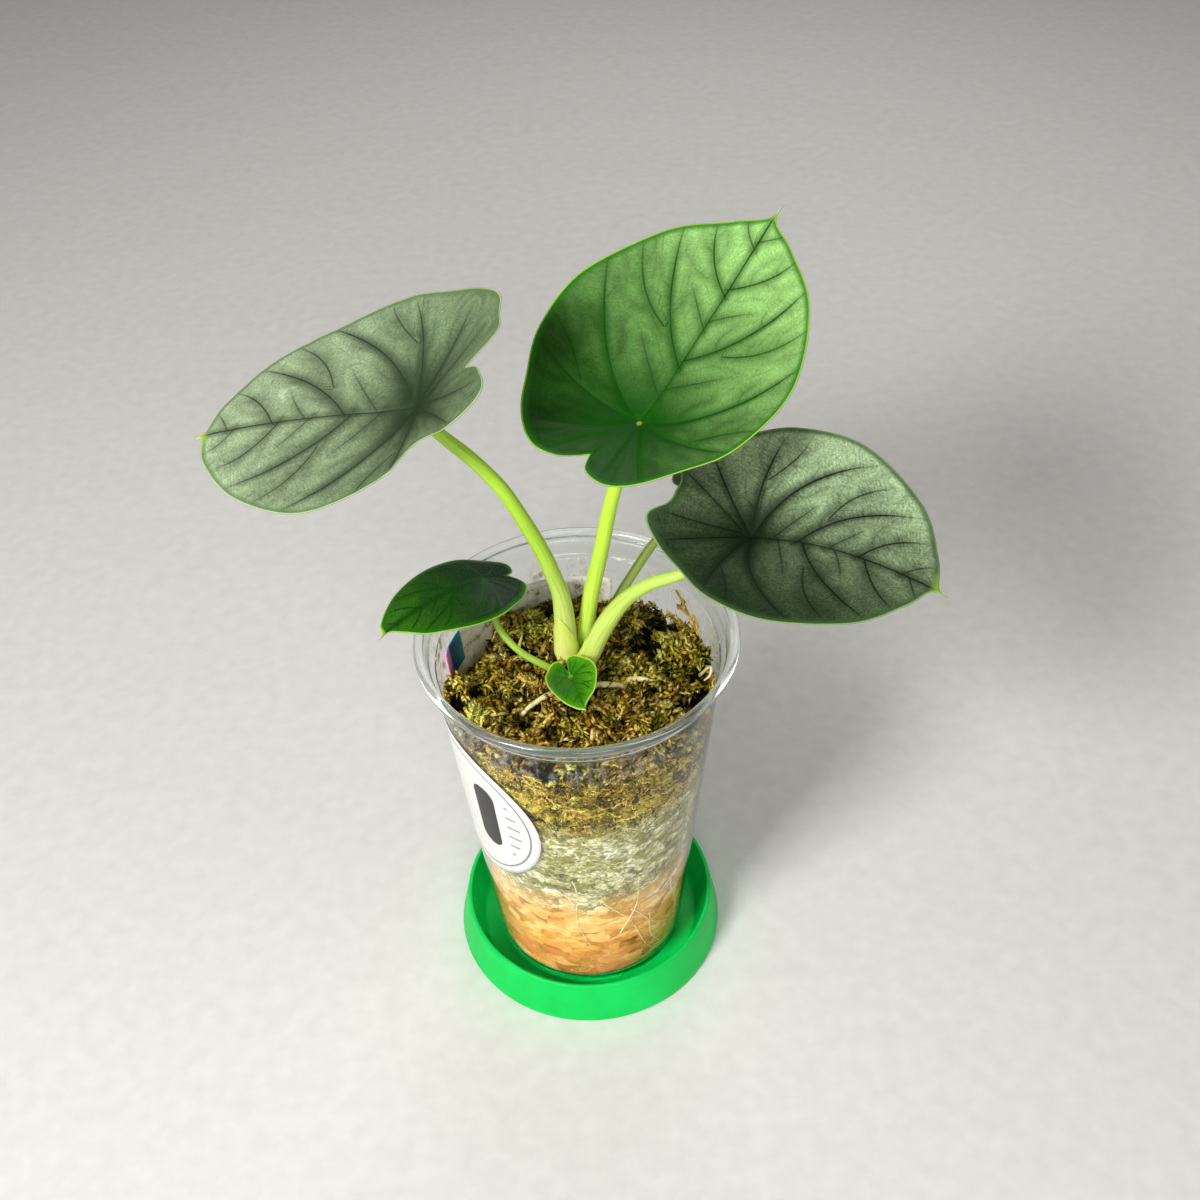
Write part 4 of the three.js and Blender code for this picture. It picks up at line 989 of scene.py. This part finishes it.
def blade_piece(leaf_name, leaf, around, rings, band_width, materials, slot):
    """A blade's piece: a grid bent round its hub, out to its margin, with its veins pressed in."""
    bm = bmesh.new()
    bmesh.ops.create_grid(bm, x_segments=around, y_segments=rings, size=0.5)
    mesh = bpy.data.meshes.new("blade_sheet")
    bm.to_mesh(mesh)
    bm.free()
    flat = np.zeros(len(mesh.vertices) * 3)
    mesh.vertices.foreach_get("co", flat)
    turn, share, _ = flat.reshape(-1, 3).T + 0.5
    left = half_margin(leaf["left"], leaf["notch"], 1, around // 2 + 1)
    right = half_margin(leaf["right"], leaf["notch"], -1, around // 2 + 1)[::-1]
    margin = np.concatenate([left, right[1:]])
    place = turn * (len(margin) - 1)
    edge = np.stack([np.interp(place, np.arange(len(margin)), margin[:, k]) for k in (0, 1)])
    x, y = edge * share
    for at_x, at_y, reach, push_x, push_y in leaf.get("bulges", ()):
        pull = np.exp(-((x - at_x) ** 2 + (y - at_y) ** 2) / reach ** 2)
        x, y = x + pull * push_x, y + pull * push_y
    length = leaf["length"]
    main, side = vein_fields(x, y, MAIN_VEINS), vein_fields(x, y, SIDE_VEINS)
    # The margin is gently frilled, and the tip dips
    ripple = 0.35 * np.sin(turn * math.tau * 9 + 2 * length) * share ** 8 * np.clip(1 - x, 0, 1)
    tip_dip = 0.62 * np.clip(10 * x - 9, 0, 1) ** 2
    spots = blade_points(leaf, x, y, sunk(leaf, x, y, main, side) + (ripple - tip_dip) * length / FULL_LENGTH)
    mesh.vertices.foreach_set("co", (spots * MM).ravel())
    # What the skin reads at each point, in millimetres or as shares
    signed, strength, along = main
    near = np.clip(0.35 + strength, 0, 1) * np.clip(1.6 - np.abs(signed) * length / 2.2, 0, 1)
    spread = band_width * (1.7 - 1.1 * np.clip(along / 0.6, 0, 1))
    band = 0.85 * strength * np.exp(-(signed / spread) ** 2)
    rim = (1 - share) * np.hypot(*edge) * length
    for field, parts in (
        ("place", (x * length, y * length, x)),
        ("veins", (signed * length, near, band)),
        ("edge", (rim, y * length * np.clip(x * 20, 0, 1) + 9 * (x < 0), np.hypot(x, y) * length)),
        ("grain", (along * length, np.abs(signed) * length, np.sign(y))),
        ("twigs", (np.abs(side[0]) * length, side[1] / SIDE_VEIN_STRENGTH, 0 * x)),
    ):
        layer = mesh.attributes.new(field, "FLOAT_VECTOR", "POINT")
        layer.data.foreach_set("vector", np.stack(parts, 1).ravel())
    bm = bmesh.new()
    bm.from_mesh(mesh)
    thick = bm.verts.layers.deform.verify()
    for vert, gap in zip(bm.verts, rim):
        vert[thick][0] = min(1.0, 0.35 + gap / 4)
    bmesh.ops.remove_doubles(bm, verts=bm.verts, dist=1e-4 * MM)
    if sum(face.normal.z * face.calc_area() for face in bm.faces) < 0:
        bmesh.ops.reverse_faces(bm, faces=bm.faces)
    mesh = bpy.data.meshes.new(f"leaf_blade_{leaf_name}")
    bm.to_mesh(mesh)
    bm.free()
    piece = place_piece(mesh, f"leaf_blade_{leaf_name}", materials, slot, f"blade_{leaf_name}")
    piece.vertex_groups.new(name="thick")
    body = thicken(piece, "leaf_thickness", 0.6)
    body.vertex_group = "thick"
    body.material_offset = 1
    body.material_offset_rim = 1


def leaf_skin(name, tones, gloss, shine, silver, network, lean, hub_reach, dot):
    """The top of a leaf: waxy skin over green tissue. tones gives the ground's dark and light, the band along
    the veins, the vein line, the hub, the margin, the thin rim and the tip. silver is the pale grain of air
    under the skin, network how far the fine veins show, in their colour and in painted shade in their creases,
    lean the way in which the ground grows lighter, which is painted light and shade for how light falls across
    the leaf, and the range that counts, hub_reach the size of the dark hub, partly painted shade of the funnel,
    and dot the light spot in it."""
    dark, light, band_tone, line_tone, hub_tone, margin_tone, rim_tone, tip_tone = tones
    skin = new_material(name, Roughness=gloss, IOR=1.45, Subsurface_Weight=0.05, Specular_IOR_Level=shine,
                        Subsurface_Radius=(0.5 * MM, 0.9 * MM, 0.25 * MM))
    place, grain, *fields = (add_node(skin, "Attribute", attribute_name=field).outputs["Vector"]
                             for field in ("place", "grain", "veins", "edge", "twigs"))
    veins, edge, twigs = (add_node(skin, "SeparateXYZ", [field]).outputs for field in fields)
    # The ground: light to dark across the leaf, painted light and shade, with the grain of air on it, darker
    # beside the veins with painted shade in their creases
    flat_place = add_node(skin, "VectorMath", [place, (1.0, 1.0, 0.0)], operation="MULTIPLY")
    cross = add_node(skin, "VectorMath", [grain, (1.9, 0.45, 7.0)], operation="MULTIPLY")
    streaks = add_node(skin, "TexNoise", {"Vector": cross, "Scale": 1.0, "Detail": 5.0, "Roughness": 0.7})
    specks = add_node(skin, "TexNoise", {"Vector": flat_place, "Scale": 1.5, "Detail": 5.0, "Roughness": 0.75})
    clouds = add_node(skin, "TexNoise", {"Vector": flat_place, "Scale": 0.13, "Detail": 3.0})
    # Painted light and shade: the ground grows lighter towards the side of each leaf that the light falls on
    slope = add_node(skin, "VectorMath", [flat_place, (*lean[:2], 0)], operation="DOT_PRODUCT").outputs["Value"]
    painted_light_drift = add_node(skin, "Math", [clouds, 0.25, slope], operation="MULTIPLY_ADD")
    light_and_cloud_share = add_node(skin, "Math", [add_node(skin, "MapRange", [painted_light_drift, *lean[2:]]), 2.0],
                            operation="POWER")
    ground = add_node(skin, "MixRGB", [light_and_cloud_share, dark, light])
    vein_gap = add_node(skin, "Math", [veins["X"]], operation="ABSOLUTE")
    any_gap = add_node(skin, "Math", [vein_gap, twigs["X"]], operation="MINIMUM")
    both = add_node(skin, "Math", [streaks, specks])
    shimmer = add_node(skin, "MapRange", [both, 0.84, 1.18, 1 - silver, 1 + silver])
    # Painted shade and light: the tissue is darkened in the creases beside the veins and lightened on the quilting
    # between them
    pillow_with_crease_shade = add_node(skin, "MapRange", [any_gap, 0, 3.0, 1 - 0.5 * network, 1 + 0.12 * network],
                      interpolation_type="SMOOTHSTEP")
    relief = add_node(skin, "Math", [shimmer, pillow_with_crease_shade], operation="MULTIPLY")
    colour = add_node(skin, "MixRGB", [1.0, ground, relief], blend_type="MULTIPLY")
    # What lies on it, each a share and a tone, from the side veins up to the light tip
    twig_line = add_node(skin, "MapRange", [twigs["X"], 0.5, 0.1, 0, network])
    rib_gap = add_node(skin, "Math", [edge["Y"]], operation="ABSOLUTE")
    rib_line = add_node(skin, "MapRange", [rib_gap, 0.4, 0.12])
    vein_line = add_node(skin, "MapRange", [vein_gap, 0.4, 0.1])
    vein_there = add_node(skin, "Math", [vein_line, veins["Y"]], operation="MULTIPLY")
    # The dark hub is partly the leaf's deep green and partly painted shade in the funnel about the stalk
    hub_and_shade_share = add_node(skin, "MapRange", [edge["Z"], hub_reach, 1.5, 0, 0.9], interpolation_type="SMOOTHSTEP")
    rib_share = add_node(skin, "MapRange", [rib_gap, 2.6, 0.3, 0, 0.6], interpolation_type="SMOOTHSTEP")
    light_dot = add_node(skin, "MapRange", [edge["Z"], 1.1, 0.5, 0, dot])
    tip = add_node(skin, "MapRange", [add_node(skin, "SeparateXYZ", [place]).outputs["Z"], 0.92, 0.97])
    for share, tone in (
        (add_node(skin, "Math", [twig_line, twigs["Y"]], operation="MULTIPLY"), band_tone),
        (veins["Z"], band_tone),
        (hub_and_shade_share, hub_tone),
        (rib_share, band_tone),
        (add_node(skin, "Math", [vein_there, rib_line], operation="MAXIMUM"), line_tone),
        (add_node(skin, "MapRange", [edge["X"], 2.2, 0.9, 0, 0.8]), margin_tone),
        (add_node(skin, "MapRange", [edge["X"], 0.5, 0.2]), rim_tone),
        (add_node(skin, "Math", [light_dot, tip], operation="MAXIMUM"), tip_tone),
    ):
        colour = add_node(skin, "MixRGB", [share, colour, tone])
    feed(skin, Base_Color=colour,
         Roughness=add_node(skin, "MapRange", [specks, 0.3, 0.7, gloss - 0.06, gloss + 0.08]),
         Normal=add_node(skin, "Bump", {"Height": add_node(skin, "Math", [both, pillow_with_crease_shade]), "Strength": 0.4,
                                        "Distance": 0.2 * MM}))
    return skin


# The underside is duller and paler, with the veins lighter than the tissue
leaf_back = new_material("leaf_underside", Roughness=0.55, IOR=1.42, Subsurface_Weight=0.08,
                         Subsurface_Radius=(0.5 * MM, 0.9 * MM, 0.25 * MM))
back_place, back_fields = (add_node(leaf_back, "Attribute", attribute_name=field).outputs["Vector"]
                           for field in ("place", "veins"))
back_veins = add_node(leaf_back, "SeparateXYZ", [back_fields]).outputs
back_specks = add_node(leaf_back, "TexNoise", {"Vector": back_place, "Scale": 1.1, "Detail": 6.0})
back_ground = add_node(leaf_back, "ValToRGB", [back_specks], [(0.3, "#6f8f5a"), (0.7, "#8aa871")])
back_gap = add_node(leaf_back, "Math", [back_veins["X"]], operation="ABSOLUTE")
back_line = add_node(leaf_back, "MapRange", [back_gap, 0.9, 0.3])
back_there = add_node(leaf_back, "Math", [back_line, back_veins["Y"]], operation="MULTIPLY")
feed(leaf_back, Base_Color=add_node(leaf_back, "MixRGB", [back_there, back_ground, "#b6cc8c"]),
     Normal=add_node(leaf_back, "Bump", {"Height": back_specks, "Strength": 0.3, "Distance": 0.15 * MM}))

rib_skin = stalk_skin("rib_skin", "#b9d27a", "#a9c86a")

# The tones of leaf_skin; then gloss, shine, silver, network, lean of the painted light along and across with its
# range, width of the bands, light dot, slot and the mesh's steps around and out
SKINS = {
    "left": (("#667c55", "#b2c79c", "#3a4c31", "#2b3b25", "#1c3316", "#64824e", "#c3d39a", "#c3ea35"),
             0.46, 0.3, 0.34, 0.36, (0.35, -0.1, -0.2, 0.42), 0.034, 0.0, "blade_silver", 288, 84),
    "top": (("#1c5208", "#aae080", "#1f5c0a", "#154a07", "#044a01", "#277214", "#a5da3f", "#d0f04a"),
            0.4, 0.15, 0.22, 0.45, (0.62, -0.22, -0.1, 0.65), 0.017, 0.4, "blade_fresh", 288, 84),
    "right": (("#22381a", "#a3ba8d", "#182b12", "#0c1a09", "#081c05", "#3d5c33", "#8ea66c", "#a8cf3a"),
              0.46, 0.1, 0.44, 0.36, (0.1, 0.7, -0.26, 0.42), 0.028, 0.0, "blade_dark", 288, 84),
    "back": (("#29402a", "#5f774f", "#1a2c19", "#132413", "#142b12", "#3a5a30", "#86a060", "#a6c62f"),
             0.44, 0.3, 0.28, 0.35, (0.1, 0.1, -0.1, 0.4), 0.026, 0.0, "blade_dark", 160, 40),
    "small": (("#052b03", "#4f9426", "#0a3a05", "#0c4007", "#052a03", "#27680e", "#9ccc3a", "#c9ec4a"),
              0.25, 0.14, 0.2, 0.05, (0.5, 0.0, 0.0, 0.8), 0.01, 0.0, "blade_gloss", 160, 40),
    "tiny": (("#226e0a", "#69b014", "#1f650a", "#1f650a", "#2f8410", "#4f9414", "#bcd84a", "#e2ea5a"),
             0.24, 0.25, 0.12, 0.05, (0.1, 0.5, -0.15, 0.45), 0.012, 0.3, "blade_young", 96, 28),
}
# How far the dark hub reaches, in blade lengths; its darkness is partly painted shade of the funnel
HUB_REACH = 0.33
RIB_END = 0.94
for leaf_name, leaf in LEAVES.items():
    tones, gloss, shine, silver, network, lean, band_width, dot, slot, around, rings = SKINS[leaf_name]
    length = leaf["length"]
    light_lean_per_mm = (lean[0] / length, lean[1] / length, *lean[2:])
    skin = leaf_skin(f"leaf_skin_{leaf_name}", tones, gloss, shine, silver, network, light_lean_per_mm,
                     HUB_REACH * length, dot)
    blade_piece(leaf_name, leaf, around, rings, band_width, [skin, leaf_back], slot)
    # Ribs stand out under the midrib and the stronger veins, and stop short of the margin
    scale = length / FULL_LENGTH
    margins = [half_margin(leaf[half], leaf["notch"], 1, 60) for half in ("left", "right")]
    midrib = (np.stack([np.linspace(0, 0.97, 30), np.zeros(30)], 1), 1.6)
    strands = []
    for line, strength in [midrib] + [vein for vein in MAIN_VEINS if vein[1] > 0.4]:
        margin = margins[int(line[-1, 1] < 0)]
        bearings = np.arctan2(margin[:, 1], margin[:, 0])
        room = np.interp(np.arctan2(np.abs(line[:, 1]), line[:, 0]), bearings, np.hypot(*margin.T))
        line = line[np.hypot(*line.T) < room * RIB_END]
        if len(line) < 4:
            continue
        radii = np.linspace(0.62 * strength + 0.12, 0.16, len(line)) * scale
        x, y = line.T
        depth = sunk(leaf, x, y, vein_fields(x, y, MAIN_VEINS), vein_fields(x, y, SIDE_VEINS))
        spots = blade_points(leaf, x, y, depth - 0.3 * scale - radii * 0.8)
        strands.append((spots.tolist(), radii.tolist(), 0.5, 0.0))
    strand_piece(f"leaf_ribs_{leaf_name}", strands, rib_skin, slot, sides=1)
